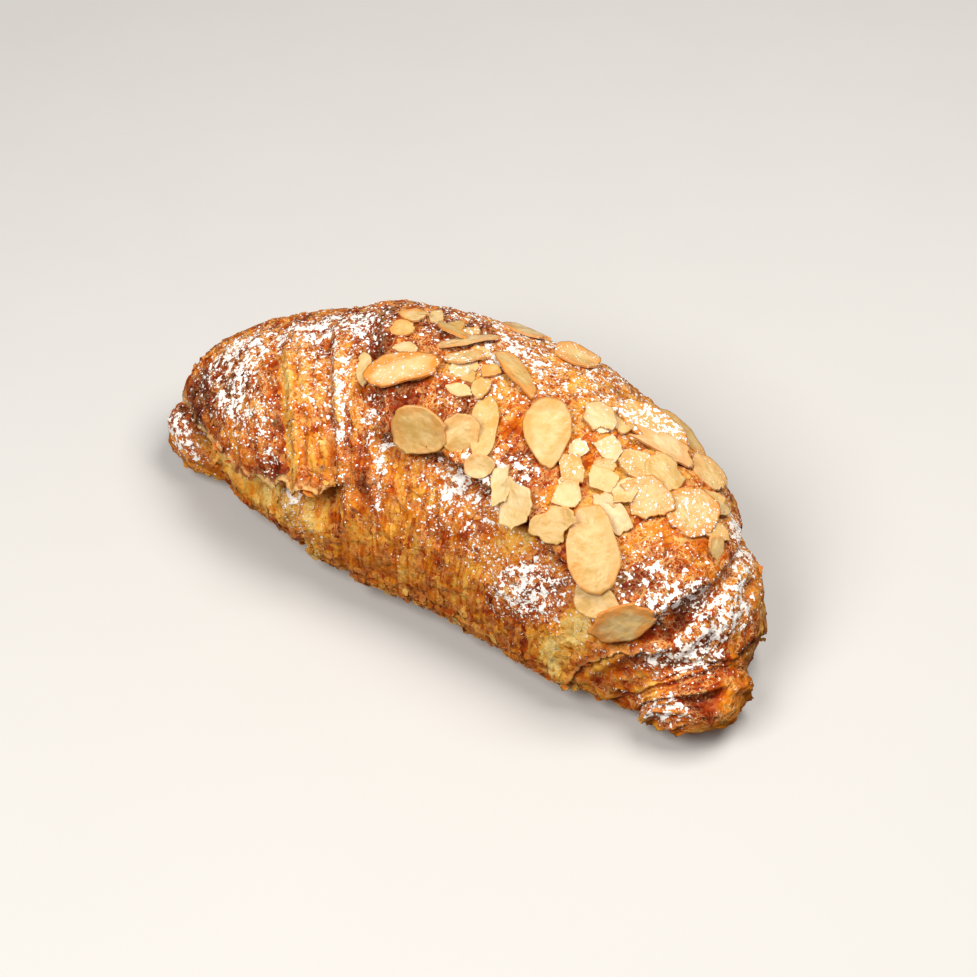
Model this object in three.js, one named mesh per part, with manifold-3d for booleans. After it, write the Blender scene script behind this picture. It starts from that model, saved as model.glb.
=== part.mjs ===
// Almond croissant: a crescent of rolled, baked dough with almond flakes on its last flap.
// Millimetres. +Z up, +X along the length, the tips turned towards -Y, the origin under the middle.

import * as THREE from 'three';
import { mergeVertices } from 'three/addons/utils/BufferGeometryUtils.js';
import { ImprovedNoise } from 'three/addons/math/ImprovedNoise.js';
import Module from 'manifold-3d';

const { clamp, lerp, smoothstep: ramp, degToRad } = THREE.MathUtils;

// Overall form. A station is a distance along the bent centreline, from -LEFT_LENGTH to RIGHT_LENGTH.
// An angle goes round the section: 0 at the back, 90 at the top, 180 at the front, 270 and -90 underneath.
const LEFT_LENGTH = 90;
const RIGHT_LENGTH = 92;
const LEFT_TURN = 24; // degrees through which the left half of the centreline bends
const RIGHT_TURN = 47;
const HALF_WIDTH = 38;
const HEIGHT = 56.8;
const WAIST = 0.4; // height of the widest point as a share of the section
const BASE_SINK = 1.2; // how far the rounded underside is pressed flat
const LEFT_LIFT = 8; // how far the underside rises towards each end
const RIGHT_LIFT = 3;
const LEFT_LIFT_RUN = [25, 85]; // distances from the middle
const RIGHT_LIFT_RUN = [33, 82];
const LEFT_SLIMMING = 0.11; // share by which the back is flatter, left and right of the middle
const RIGHT_SLIMMING = 0.06;
const LEFT_SLIMMING_RUN = [25, 60]; // distances from the middle
const RIGHT_SLIMMING_RUN = [10, 40];
const RIGHT_SLIMMING_END = [60, 75];

// Powers that round the section: 1 is a plain ellipse, less is squarer
const UPPER_ROUNDING = { side: 0.9, rise: 0.95 };
const LOWER_ROUNDING = { side: 0.74, rise: 0.55 };

// How each lobe tapers: the power and root of its width and height, and how blunt its end is
const LEFT_LOBE = { width: [2, 0.5, 0.2], height: [2, 0.41, 0.12] };
const RIGHT_LOBE = { width: [2.6, 0.56, 0.25], height: [2.4, 0.5, 0.2] };
const LOBE_TAPER = 0.91; // share of the full taper that a lobe reaches at its end
const LOBE_CAP_POWER = 15; // how late the blunt end closes

// Knobs of rolled dough that stick out of the two ends
const LEFT_KNOB = { start: -76, reach: 14, halfWidth: 12, middle: 12, rise: 9.5, drop: 9.5 };
const RIGHT_KNOB = { start: 72, reach: 20, halfWidth: 15, middle: 11.5, rise: 11.5, drop: 10 };
const KNOB_REGION = 60; // stations past this may belong to a knob

// Edges of the wraps: the station where each one crosses the back, the top and the front
const KNOB_EDGE = { back: -85, top: -84, front: -73 };
const PALE_EDGE = { back: -66, top: -57, front: -40 };
const RIDGE_EDGE = { back: -54, top: -44, front: -24 };
const FLAP_LEFT = { back: -36, top: -28, front: -4 };
const FLAP_RIGHT = { back: 48, top: 72, front: 56 };
const LOBE_EDGE = { back: 80, top: 82, front: 79 };
const LAYER_EDGE = { back: 72, top: 79.5, front: 65 };
const FOLD_EDGE = { back: 85, top: 88.5, front: 84 };
const STEP_WIDTH = 2; // run of the step at an edge
const LAYER_STEP = 0.6; // run of the drop where a layer ends
const RIDGE_HEIGHT = 1.6;
const RIDGE_GROOVE = 1.2;
const RIDGE_FADE = 9; // run over which a ridge settles again
const FLAP_HEIGHT = 4.2; // at the flap's rim
const FLAP_SETTLED = 1; // away from its rim
const FLAP_FADE = 14; // run over which the rim settles
const FLAP_UNDERCUT = 1.8; // below its front edge
const FLAP_EASING = 8; // run over which its left edge rises at the top
const CRACK_DEPTH = 3.6; // beside its right edge
const CREST_HEIGHT = 1.6; // of the roll beyond the crack
const LAYER_HEIGHT = 1.8; // of the outer layer where it ends on the right roll
const LAYER_FADE = 5; // run over which it rises
const FOLD_HEIGHT = 2; // of the layers round the right knob
const FOLD_FADE = 3;
const CREASE_DEPTH = 0.8; // round the knobs

// The flap's front edge runs down the front from left to right
const FLAP_FRONT_ANGLE = 125; // at the middle station
const FLAP_FRONT_SLOPE = 0.06; // degrees per millimetre
const FLAP_FRONT_DROOP = 15; // degrees by which its right corner hangs lower
const FLAP_DROOP_RUN = [58, 72]; // stations
const FLAP_STEP = 3.4; // degrees
const FLAP_RADIUS = 34; // turns degrees at the flap's front into millimetres

// The open seam on the left front, which climbs both ways from its lowest station
const SEAM_STATION = -57;
const SEAM_ANGLE = 161;
const SEAM_CLIMB_LEFT = 0.075; // degrees per square millimetre
const SEAM_CLIMB_RIGHT = 0.011;
const SEAM_DEPTH = 7;
const SEAM_FALL = 1.2; // run of the drop under the lip
const SEAM_BAND = [3, 11]; // below the lip, where the recessed band comes out again
const SEAM_LIP = 2.4;
const SEAM_LIP_FADE = 6; // run over which the lip settles above
const SEAM_LEFT_END = [-84, -76]; // stations over which the seam opens and closes
const SEAM_RIGHT_END = [-36, -22];
const SEAM_STEP = 3; // degrees
const SEAM_RADIUS = 24;

// Craggy crust, and how near the tips and the underside all relief fades
const CRAG_HEIGHT = 0.9;
const RELIEF_WIDTH = 9; // half width of the section that carries the full relief
const RELIEF_RISE = [-1, -0.7]; // sine of the angle

// Grid of the body: the runs of columns between wrap edges and of rows between the edges along the length
const COLUMN_RUNS = [6, 9, 1, 4, 1, 6, 1, 28, 1, 4, 1, 3, 3, 1, 4];
const ROW_RUNS = [4, 9, 1, 6, 1, 11, 9, 4];
const CROSSING_PASSES = 14; // rounds in which a column and a row settle on their crossing
const ROW_RISE = 24; // degrees by which the flap's row passes higher, left of the flap
const ROW_RISE_RUN = [-70, -40]; // stations

// Almond flakes
const FLAKE_THICKNESS = 1.1;
const FLAKE_STAND = 0.15; // height of a flake's mid-plane over the crust
const FLAKE_CURL = 0.006; // fall of the ends, per millimetre of length squared
const CHIP_CORNERS = 7;
const CHIP_SEED = 11;
const CHIP_LENGTHS = [5, 8];
const CHIP_WIDTHS = [4, 6];
const CHIP_ZONES = [
  { stations: [-22, 4], angles: [70, 104], count: 8 },
  { stations: [22, 50], angles: [70, 112], count: 7 },
];

// Whole slices placed by eye. A heading is 0 towards the right tip and 90 down the front;
// roll turns a flake about its length, pitch about its width, and stand lifts it off the crust.
const SLICES = [
  { station: -31, angle: 101, heading: 67, length: 11, width: 4.2, roll: 10, stand: 0.5 },
  { station: -19, angle: 100, heading: -30, length: 19, width: 10.5, roll: -8, stand: 0.3 },
  { station: -25, angle: 75, heading: 13, length: 9, width: 6, stand: 0.3 },
  { station: -25, angle: 84, heading: -20, length: 7.5, width: 5, roll: 6, stand: 0.1 },
  { station: -15, angle: 78, heading: 20, length: 9.5, width: 5, roll: -20, stand: 0.5 },
  { station: -10, angle: 80, heading: -43, length: 16, width: 6.5, roll: -24, stand: 0.7 },
  { station: -7, angle: 87, heading: -31, length: 13, width: 6, roll: -16, stand: 0.3 },
  { station: -6.5, angle: 118.5, heading: -16, length: 14.5, width: 12, roll: 30, stand: 1 },
  { station: 4, angle: 115.5, heading: 150, length: 10.5, width: 9.5, roll: -27, stand: 0.8 },
  { station: 9, angle: 110, heading: 64, length: 18, width: 6.5, roll: -6, stand: 0.2 },
  { station: 15, angle: 120, heading: -36, length: 8, width: 6, roll: 20, stand: 0.5 },
  { station: 6, angle: 86, heading: 30, length: 18, width: 7, roll: -20, stand: 0.6 },
  { station: -2, angle: 54, heading: 7, length: 15, width: 7, roll: -2, stand: 0.2 },
  { station: 11, angle: 58, heading: -33, length: 12, width: 9, roll: 12, stand: 0.4 },
  { station: 23, angle: 98, heading: 49, length: 20, width: 11.5, roll: 4, stand: 0.1 },
  { station: 29, angle: 83, heading: 38, length: 11, width: 8 },
  { station: 32, angle: 77, heading: 70, length: 9, width: 6, roll: 6, stand: 0.4 },
  { station: 36, angle: 65, heading: -34, length: 19, width: 9.5, roll: 14, stand: 1.2 },
  { station: 37, angle: 46, heading: -18, length: 17, width: 9, roll: 6, stand: 0.5 },
  { station: 47, angle: 76, heading: -89, length: 12, width: 10, roll: 6, stand: 0.6 },
  { station: 57, angle: 74, heading: -83, length: 14, width: 12, stand: 0.2 },
  { station: 49, angle: 50, heading: -24, length: 13, width: 9, roll: 10, stand: 0.4 },
  { station: 54, angle: 116, heading: 212, length: 21.5, width: 11.5, roll: 5, pitch: 4, stand: 0.7 },
  { station: 51, angle: 102, heading: -4, length: 15, width: 6, roll: 8, stand: 0.1 },
  { station: 64, angle: 128, heading: -25, length: 12, width: 8.5, stand: 0.3 },
  { station: 69, angle: 122, heading: -72, length: 18, width: 10.5, roll: 20, stand: 1.5 },
  { station: -3, angle: 100, heading: -12, length: 8, width: 3.5, roll: 4, stand: 0.2 },
  { station: 57, angle: 59, heading: -70, length: 8, width: 3.5, roll: 10, stand: 0.3 },
  { station: 44, angle: 84, heading: -20, length: 12, width: 9, roll: -8, stand: 0.2 },
];

// Broken pieces placed by eye
const CHIPS = [
  { station: -22, angle: 91, heading: 0, length: 7, width: 4, stand: 0.1 },
  { station: -4.5, angle: 93, heading: 70, length: 6, width: 5.5, stand: 0.2 },
  { station: 41, angle: 67, heading: -43, length: 18, width: 8, roll: 6, stand: 0.4 },
  { station: 51, angle: 90, heading: -37, length: 15, width: 11, roll: 8, stand: 0.2 },
  { station: 24, angle: 121, heading: 55, length: 11, width: 6, roll: 14, stand: 0.6 },
  { station: 31, angle: 123, heading: 20, length: 14, width: 10, roll: 18, stand: 1.3 },
  { station: 43, angle: 121, heading: -65, length: 11, width: 9.5, roll: 6, stand: 0.9 },
  { station: 40, angle: 111, heading: -20, length: 8, width: 8 },
  { station: 42, angle: 97, heading: 0, length: 8, width: 7, stand: 0.2 },
  { station: 62, angle: 66, heading: -80, length: 8, width: 5 },
  { station: 56, angle: 60, heading: -26, length: 9, width: 6, roll: 8 },
  { station: 64.5, angle: 70, heading: 60, length: 8, width: 6, roll: -24, stand: 0.5 },
  { station: 36, angle: 88, heading: 40, length: 9, width: 7, roll: 8, stand: 0.1 },
  { station: 47, angle: 94, heading: 75, length: 9, width: 6, roll: 10, stand: 0.3 },
  { station: 35, angle: 103, heading: 15, length: 9, width: 7, stand: 0.1 },
];

const bell = (x, width) => Math.exp(-((x / width) ** 2));
const dome = (x, reach) => Math.sqrt(1 - clamp(x / reach, 0, 1) ** 2);
const total = (runs) => runs.reduce((sum, run) => sum + run, 0);

// The station of a wrap's edge, which lies in a tilted plane
function edgeStation(edge, angle) {
  const mean = (edge.back + edge.front) / 2;
  const turn = degToRad(angle);
  return mean + (edge.top - mean) * Math.sin(turn) + ((edge.back - edge.front) / 2) * Math.cos(turn);
}

function flapFrontAngle(station) {
  return FLAP_FRONT_ANGLE + FLAP_FRONT_SLOPE * station + FLAP_FRONT_DROOP * ramp(station, ...FLAP_DROOP_RUN);
}

function seamAngle(station) {
  const x = station - SEAM_STATION;
  return SEAM_ANGLE - (x < 0 ? SEAM_CLIMB_LEFT : SEAM_CLIMB_RIGHT) * x * x;
}

// Taper of a lobe from its middle (share 0) to its blunt end (share 1)
function taper(share, [power, root, blunt]) {
  const reach = clamp(share, 0, 1);
  const slope = (1 - (LOBE_TAPER * reach) ** power) ** root;
  const cap = (1 - reach ** LOBE_CAP_POWER) ** blunt;
  return slope * cap;
}

// Half width, top and bottom of the section: a lobe each way with a knob out of its end
function envelope(station, angle) {
  const left = station < 0;
  const share = station / edgeStation(left ? KNOB_EDGE : LOBE_EDGE, angle);
  const form = left ? LEFT_LOBE : RIGHT_LOBE;
  const width = HALF_WIDTH * taper(share, form.width);
  const span = taper(share, form.height);
  const leftLift = LEFT_LIFT * ramp(-station, ...LEFT_LIFT_RUN);
  const rightLift = RIGHT_LIFT * ramp(station, ...RIGHT_LIFT_RUN);
  const low = leftLift + rightLift - BASE_SINK;
  if (Math.abs(station) < KNOB_REGION) {
    return { width, top: HEIGHT * span, low };
  }
  const knob = left ? LEFT_KNOB : RIGHT_KNOB;
  const swell = dome(Math.abs(station) - Math.abs(knob.start), knob.reach);
  const knobLow = knob.middle - knob.drop * swell;
  const lobeLow = low + (knob.middle - low) * (1 - span) ** 2;
  return {
    width: Math.max(width, knob.halfWidth * swell),
    top: Math.max(HEIGHT * span, knob.middle + knob.rise * swell),
    low: span > 0 ? Math.min(knobLow, lobeLow) : knobLow,
  };
}

// Stretch ridges on the left front, each a step up to the right of a shallow groove
function ridgeRelief(station, angle) {
  let sum = 0;
  for (const edge of [PALE_EDGE, RIDGE_EDGE]) {
    const x = station - edgeStation(edge, angle);
    sum += RIDGE_HEIGHT * ramp(x, 0, STEP_WIDTH) * Math.exp(-Math.max(x, 0) / RIDGE_FADE);
    sum -= RIDGE_GROOVE * bell(x + 1.2, 2);
  }
  return sum * ramp(angle, 60, 95);
}

// The last flap of dough: a raised plate with a rim, and a crack along its right edge
function flapRelief(station, angle) {
  const fromLeft = station - edgeStation(FLAP_LEFT, angle);
  const fromRight = edgeStation(FLAP_RIGHT, angle) - station;
  const fromFront = degToRad(flapFrontAngle(station) - angle) * FLAP_RADIUS;
  const inward = Math.max(Math.min(fromLeft, fromRight, fromFront), 0);
  const easing = FLAP_EASING * (1 - ramp(angle, 70, 105));
  const rise = ramp(fromLeft, -easing, STEP_WIDTH);
  const inside = rise * ramp(fromRight, 0, STEP_WIDTH) * ramp(fromFront, 0, STEP_WIDTH);
  const raised = FLAP_SETTLED + (FLAP_HEIGHT - FLAP_SETTLED) * Math.exp(-inward / FLAP_FADE);
  const undercut = FLAP_UNDERCUT * bell(fromFront + 1, 1.6) * ramp(fromLeft, -3, 0) * ramp(fromRight, -3, 0);
  const crack = CRACK_DEPTH * bell(fromRight + 1.2, 1.6) * ramp(fromFront, -3, 0);
  const crest = CREST_HEIGHT * bell(fromRight + 5.5, 2.8) * ramp(fromFront, -8, 0);
  const showing = 0.3 * ramp(angle, -60, -10) + 0.7 * ramp(angle, 35, 95);
  return showing * (raised * inside - undercut - crack + crest);
}

// The seam: the dough above it ends in a lip, the layers below lie back
function seamRelief(station, angle) {
  const open = ramp(station, ...SEAM_LEFT_END) * (1 - ramp(station, ...SEAM_RIGHT_END));
  const below = degToRad(angle - seamAngle(station)) * SEAM_RADIUS;
  const lip = below < 0 ? SEAM_LIP * Math.exp(below / SEAM_LIP_FADE) : 0;
  const recess = SEAM_DEPTH * ramp(below, 0, SEAM_FALL) * (1 - ramp(below, ...SEAM_BAND));
  return open * (lip - recess);
}

// Creases where the knobs come out of the lobes, and the layers that end on the right roll and knob
function endRelief(station, angle) {
  const left = bell(station - edgeStation(KNOB_EDGE, angle), 1);
  const right = bell(station - edgeStation(LOBE_EDGE, angle), 1);
  const pastLayer = station - edgeStation(LAYER_EDGE, angle);
  const pastFold = station - edgeStation(FOLD_EDGE, angle);
  const layer = pastLayer < 0 ? LAYER_HEIGHT * Math.exp(pastLayer / LAYER_FADE) : 0;
  const fold = pastFold < 0 ? FOLD_HEIGHT * Math.exp(pastFold / FOLD_FADE) : 0;
  return layer + fold - CREASE_DEPTH * (left + right);
}

const noise = new ImprovedNoise();

// Crags drawn out round the section, as the dough stretches
function cragRelief(station, angle) {
  const drawnOut = noise.noise(station / 5, angle / 25, 3.7);
  const lumps = noise.noise(station / 7, angle / 9, 8.2);
  return CRAG_HEIGHT * (drawnOut + lumps);
}

// The point at a station and angle; the relief's share is 0 for the plain envelope
function surface(station, angle, reliefShare = 1) {
  const turn = degToRad(angle);
  const across = Math.cos(turn);
  const upward = Math.sin(turn);
  const { width, top, low } = envelope(station, angle);
  const waist = low + WAIST * (top - low);
  const slimming = LEFT_SLIMMING * ramp(-station, ...LEFT_SLIMMING_RUN)
    + RIGHT_SLIMMING * ramp(station, ...RIGHT_SLIMMING_RUN) * (1 - ramp(station, ...RIGHT_SLIMMING_END));
  const halfWidth = width * (across > 0 ? 1 - slimming : 1);
  const rounding = upward > 0 ? UPPER_ROUNDING : LOWER_ROUNDING;
  const side = halfWidth * Math.sign(across) * Math.abs(across) ** rounding.side;
  const rise = (upward > 0 ? top - waist : low - waist) * Math.abs(upward) ** rounding.rise;
  const forms = ridgeRelief(station, angle) + flapRelief(station, angle) + seamRelief(station, angle)
    + endRelief(station, angle) + cragRelief(station, angle);
  const relief = reliefShare * forms * ramp(width, 0, RELIEF_WIDTH) * ramp(upward, ...RELIEF_RISE);
  const out = side + relief * across;
  const height = Math.max(waist + rise + relief * Math.max(upward, -0.2), 0);
  const radius = station < 0 ? LEFT_LENGTH / degToRad(LEFT_TURN) : RIGHT_LENGTH / degToRad(RIGHT_TURN);
  const bend = station / radius;
  return new THREE.Vector3(
    (radius + out) * Math.sin(bend),
    (radius + out) * Math.cos(bend) - radius,
    height,
  );
}

// The place a share of the way along a row of anchors, where each gap holds its own number of steps
function spread(anchors, runs, share) {
  let index = share * total(runs);
  let run = 0;
  while (run < runs.length - 1 && index > runs[run]) {
    index -= runs[run];
    run += 1;
  }
  return { run, part: clamp(index / runs[run], 0, 1), from: anchors[run], to: anchors[run + 1] };
}

// Columns follow the wrap edges and crowd towards the tips
function columnStation(share, angle) {
  const edges = [PALE_EDGE, RIDGE_EDGE, FLAP_LEFT, FLAP_RIGHT, LAYER_EDGE, FOLD_EDGE];
  const [pale, ridge, flapLeft, flapRight, layer, fold] = edges.map((edge) => edgeStation(edge, angle));
  const anchors = [
    -LEFT_LENGTH,
    edgeStation(KNOB_EDGE, angle),
    pale, pale + STEP_WIDTH,
    ridge, ridge + STEP_WIDTH,
    flapLeft, flapLeft + STEP_WIDTH,
    flapRight - STEP_WIDTH, flapRight,
    layer, layer + LAYER_STEP,
    edgeStation(LOBE_EDGE, angle),
    fold, fold + LAYER_STEP,
    RIGHT_LENGTH,
  ];
  const place = spread(anchors, COLUMN_RUNS, share);
  let part = place.part;
  if (place.run === 0) {
    part = 1 - Math.cos((part * Math.PI) / 2);
  }
  if (place.run === COLUMN_RUNS.length - 1) {
    part = Math.sin((part * Math.PI) / 2);
  }
  return lerp(place.from, place.to, part);
}

// Rows follow the seam and the flap's front edge
function rowAngle(share, station) {
  const front = flapFrontAngle(station) - ROW_RISE * (1 - ramp(station, ...ROW_RISE_RUN));
  const seam = Math.max(seamAngle(station), front + 22);
  const anchors = [270, 226, seam + SEAM_STEP, seam, front + FLAP_STEP, front, 60, -25, -90];
  const place = spread(anchors, ROW_RUNS, share);
  return lerp(place.from, place.to, place.part);
}

// A sphere's grid, each vertex moved to the place where its column and row cross
function bodyGeometry() {
  const columns = total(COLUMN_RUNS);
  const rows = total(ROW_RUNS);
  const geometry = new THREE.SphereGeometry(1, rows, columns);
  const position = geometry.attributes.position;
  for (let index = 0; index < position.count; index += 1) {
    const around = (index % (rows + 1)) / rows;
    const along = Math.floor(index / (rows + 1)) / columns;
    let angle = 90;
    let station = 0;
    for (let pass = 0; pass < CROSSING_PASSES; pass += 1) {
      station = columnStation(along, angle);
      angle = rowAngle(around, station);
    }
    const atTip = along === 0 || along === 1;
    const point = surface(station, atTip ? 90 : angle);
    position.setXYZ(index, point.x, point.y, point.z);
  }
  return geometry;
}

// Outline of a flaked almond slice: round at one end, pointed at the other
function sliceShape({ length, width }) {
  const shape = new THREE.Shape();
  shape.moveTo(-length / 2, 0);
  shape.bezierCurveTo(-length / 2, width * 0.42, -length * 0.26, width / 2, -length * 0.04, width / 2);
  shape.bezierCurveTo(length * 0.2, width / 2, length * 0.38, width * 0.24, length / 2, 0);
  shape.bezierCurveTo(length * 0.38, -width * 0.24, length * 0.2, -width / 2, -length * 0.04, -width / 2);
  shape.bezierCurveTo(-length * 0.26, -width / 2, -length / 2, -width * 0.42, -length / 2, 0);
  return shape;
}

// Outline of a broken piece: a few corners at uneven distances
function chipShape({ length, width }, random) {
  const corners = [];
  for (let corner = 0; corner < CHIP_CORNERS; corner += 1) {
    const turn = ((corner + 0.5 * random()) / CHIP_CORNERS) * 2 * Math.PI;
    const reach = 0.42 + 0.16 * random();
    corners.push(new THREE.Vector2(length * reach * Math.cos(turn), width * reach * Math.sin(turn)));
  }
  return new THREE.Shape(corners);
}

// A slice or chip lying on the crust
function flakeGeometry({ station, angle, heading, length, roll = 0, pitch = 0, stand = 0 }, shape) {
  const extrusion = { depth: FLAKE_THICKNESS, bevelEnabled: false, curveSegments: 3 };
  const geometry = new THREE.ExtrudeGeometry(shape, extrusion);
  geometry.translate(0, 0, -FLAKE_THICKNESS / 2);
  const position = geometry.attributes.position;
  for (let index = 0; index < position.count; index += 1) {
    const x = position.getX(index);
    position.setZ(index, position.getZ(index) - FLAKE_CURL * (x * x - (length * length) / 24));
  }
  const along = surface(station + 2, angle, 0).sub(surface(station - 2, angle, 0)).normalize();
  const down = surface(station, angle + 3, 0).sub(surface(station, angle - 3, 0)).normalize();
  const normal = new THREE.Vector3().crossVectors(down, along).normalize();
  const turn = degToRad(heading);
  const xAxis = along.clone().multiplyScalar(Math.cos(turn)).addScaledVector(down, Math.sin(turn));
  xAxis.addScaledVector(normal, -xAxis.dot(normal)).normalize();
  const yAxis = new THREE.Vector3().crossVectors(normal, xAxis);
  const frame = new THREE.Matrix4().makeBasis(xAxis, yAxis, normal);
  frame.setPosition(surface(station, angle).addScaledVector(normal, FLAKE_STAND + stand));
  geometry.applyMatrix4(new THREE.Matrix4().makeRotationY(degToRad(pitch)));
  geometry.applyMatrix4(new THREE.Matrix4().makeRotationX(degToRad(roll)));
  geometry.applyMatrix4(frame);
  return geometry;
}

function seededRandom(seed) {
  let state = seed;
  return () => {
    state = (Math.imul(state, 1664525) + 1013904223) >>> 0;
    return state / 4294967296;
  };
}

// Every flake, the largest first
function flakeGeometries() {
  const random = seededRandom(CHIP_SEED);
  const whole = SLICES.map((slice) => flakeGeometry(slice, sliceShape(slice)));
  const broken = CHIPS.map((chip) => flakeGeometry(chip, chipShape(chip, random)));
  const small = [];
  for (const zone of CHIP_ZONES) {
    for (let index = 0; index < zone.count; index += 1) {
      const chip = {
        station: lerp(...zone.stations, (index + random()) / zone.count),
        angle: lerp(...zone.angles, random()),
        heading: 180 * random(),
        length: lerp(...CHIP_LENGTHS, random()),
        width: lerp(...CHIP_WIDTHS, random()),
        roll: 20 * random() - 10,
      };
      small.push(flakeGeometry(chip, chipShape(chip, random)));
    }
  }
  return [...whole, ...broken, ...small];
}

const wasm = await Module();
wasm.setup();

function solid(geometry) {
  const bare = geometry.clone();
  bare.deleteAttribute('normal');
  bare.deleteAttribute('uv');
  const merged = mergeVertices(bare, 1e-4);
  return new wasm.Manifold(new wasm.Mesh({
    numProp: 3,
    vertProperties: new Float32Array(merged.attributes.position.array),
    triVerts: new Uint32Array(merged.index.array),
  }));
}

// The outermost of a solid's closed skins, which fills the hollows that lie between flakes and crust
function outerSkin(joined) {
  const skins = joined.decompose();
  return skins.reduce((largest, skin) => (skin.volume() > largest.volume() ? skin : largest));
}

// The body with every flake joined to it, moved so that its box stands on the origin
function croissantGeometry() {
  let whole = solid(bodyGeometry());
  for (const flake of flakeGeometries()) {
    whole = whole.add(solid(flake));
  }
  const mesh = outerSkin(whole).getMesh();
  const geometry = new THREE.BufferGeometry();
  geometry.setAttribute('position', new THREE.BufferAttribute(new Float32Array(mesh.vertProperties), 3));
  geometry.setIndex(new THREE.BufferAttribute(new Uint32Array(mesh.triVerts), 1));
  geometry.computeBoundingBox();
  const { min, max } = geometry.boundingBox;
  geometry.translate(-(min.x + max.x) / 2, -(min.y + max.y) / 2, -min.z);
  geometry.computeVertexNormals();
  return geometry;
}

const part = new THREE.Group();
const crust = new THREE.MeshStandardMaterial({ color: 0xc98a45, roughness: 0.7, metalness: 0 });
const croissant = new THREE.Mesh(croissantGeometry(), crust);
croissant.name = 'croissant';
part.add(croissant);

export default part;
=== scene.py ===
"""Looks of the almond croissant: crust, almond flakes, loose shards and icing sugar, on a pale floor."""

import math

import bpy
import numpy as np
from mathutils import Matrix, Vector

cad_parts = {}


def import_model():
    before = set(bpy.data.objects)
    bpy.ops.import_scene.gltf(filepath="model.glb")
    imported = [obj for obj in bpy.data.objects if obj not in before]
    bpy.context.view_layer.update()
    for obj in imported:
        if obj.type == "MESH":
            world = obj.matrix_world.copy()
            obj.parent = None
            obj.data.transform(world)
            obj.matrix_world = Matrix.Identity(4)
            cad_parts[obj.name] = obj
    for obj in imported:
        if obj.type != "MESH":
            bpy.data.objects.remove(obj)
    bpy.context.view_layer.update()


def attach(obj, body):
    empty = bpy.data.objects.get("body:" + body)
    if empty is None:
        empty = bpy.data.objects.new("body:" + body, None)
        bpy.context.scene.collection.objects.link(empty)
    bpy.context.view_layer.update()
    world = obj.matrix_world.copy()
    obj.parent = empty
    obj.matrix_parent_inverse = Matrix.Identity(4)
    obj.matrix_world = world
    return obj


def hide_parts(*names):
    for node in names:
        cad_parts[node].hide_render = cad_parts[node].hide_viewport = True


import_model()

MM = 0.001

# Form of the dough, in millimetres. A station is a distance along the bent centreline, and an angle goes
# round the section: 0 at the back, 90 at the top, 180 at the front, 270 and -90 underneath.
LEFT_LENGTH = 90.0
RIGHT_LENGTH = 92.0
LEFT_TURN = math.radians(24.0)
RIGHT_TURN = math.radians(47.0)
HALF_WIDTH = 38.0
HEIGHT = 56.8
WAIST = 0.4  # height of the widest point as a share of the section
BASE_SINK = 1.2  # how far the rounded underside is pressed flat
LEFT_LIFT = 8.0  # how far the underside rises towards each end
RIGHT_LIFT = 3.0
LEFT_LIFT_RUN = (25.0, 85.0)
RIGHT_LIFT_RUN = (33.0, 82.0)
LEFT_SLIMMING = 0.11  # share by which the back is flatter, left and right of the middle
RIGHT_SLIMMING = 0.06
LEFT_SLIMMING_RUN = (25.0, 60.0)
RIGHT_SLIMMING_RUN = (10.0, 40.0)
RIGHT_SLIMMING_END = (60.0, 75.0)
UPPER_ROUNDING = {"side": 0.9, "rise": 0.95}  # powers: 1 is a plain ellipse, less is squarer
LOWER_ROUNDING = {"side": 0.74, "rise": 0.55}
BOX_CENTRE = (-1.058, -1.745)  # where the middle of its box lies, seen from the middle of the centreline

# Power, root and bluntness of each lobe's taper, and the knobs out of the two ends
LEFT_LOBE = {"width": (2.0, 0.5, 0.2), "height": (2.0, 0.41, 0.12)}
RIGHT_LOBE = {"width": (2.6, 0.56, 0.25), "height": (2.4, 0.5, 0.2)}
LEFT_KNOB = {"start": 76.0, "reach": 14.0, "half_width": 12.0, "middle": 12.0, "rise": 9.5, "drop": 9.5}
RIGHT_KNOB = {"start": 72.0, "reach": 20.0, "half_width": 15.0, "middle": 11.5, "rise": 11.5, "drop": 10.0}
KNOB_REGION = 60.0
LOBE_TAPER = 0.91  # share of the full taper that a lobe reaches at its end
LOBE_CAP_POWER = 15  # how late the blunt end closes

# Wrap edges: the station where each crosses the back, the top and the front
EDGES = {
    "knob": (-85.0, -84.0, -73.0),
    "pale": (-66.0, -57.0, -40.0),
    "ridge": (-54.0, -44.0, -24.0),
    "flap_left": (-36.0, -28.0, -4.0),
    "flap_right": (48.0, 72.0, 56.0),
    "lobe": (80.0, 82.0, 79.0),
    "fold": (85.0, 88.5, 84.0),
    "layer": (72.0, 79.5, 65.0),
}
RAGGED = 1.1
STEP_WIDTH = 2.0
RIDGE_HEIGHT = 1.6
RIDGE_GROOVE = 1.2
RIDGE_FADE = 9.0
FLAP_HEIGHT = 4.2  # at the flap's rim
FLAP_SETTLED = 1.0  # away from its rim
FLAP_FADE = 14.0
FLAP_UNDERCUT = 1.8
FLAP_OVERHANG = 2.2
FLAP_EASING = 8.0
CRACK_DEPTH = 3.6
CREST_HEIGHT = 1.6
LAYER_HEIGHT = 1.8
LAYER_STEP = 0.6
LAYER_FADE = 5.0
FOLD_HEIGHT = 2.0
FOLD_FADE = 3.0
CREASE_DEPTH = 0.8
LOBE_OVERHANG = 1.6
LIP_FADE = 3.0  # run over which a lip that hangs over dies away
LOBE_LIP_FADE = 4.0
FLAP_FRONT_ANGLE = 125.0
FLAP_FRONT_SLOPE = 0.06
FLAP_FRONT_DROOP = 15.0
FLAP_DROOP_RUN = (58.0, 72.0)
FLAP_STEP = 3.4
FLAP_RADIUS = 34.0
SEAM_STATION = -57.0
SEAM_ANGLE = 161.0
SEAM_CLIMB_LEFT = 0.075
SEAM_CLIMB_RIGHT = 0.011
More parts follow.
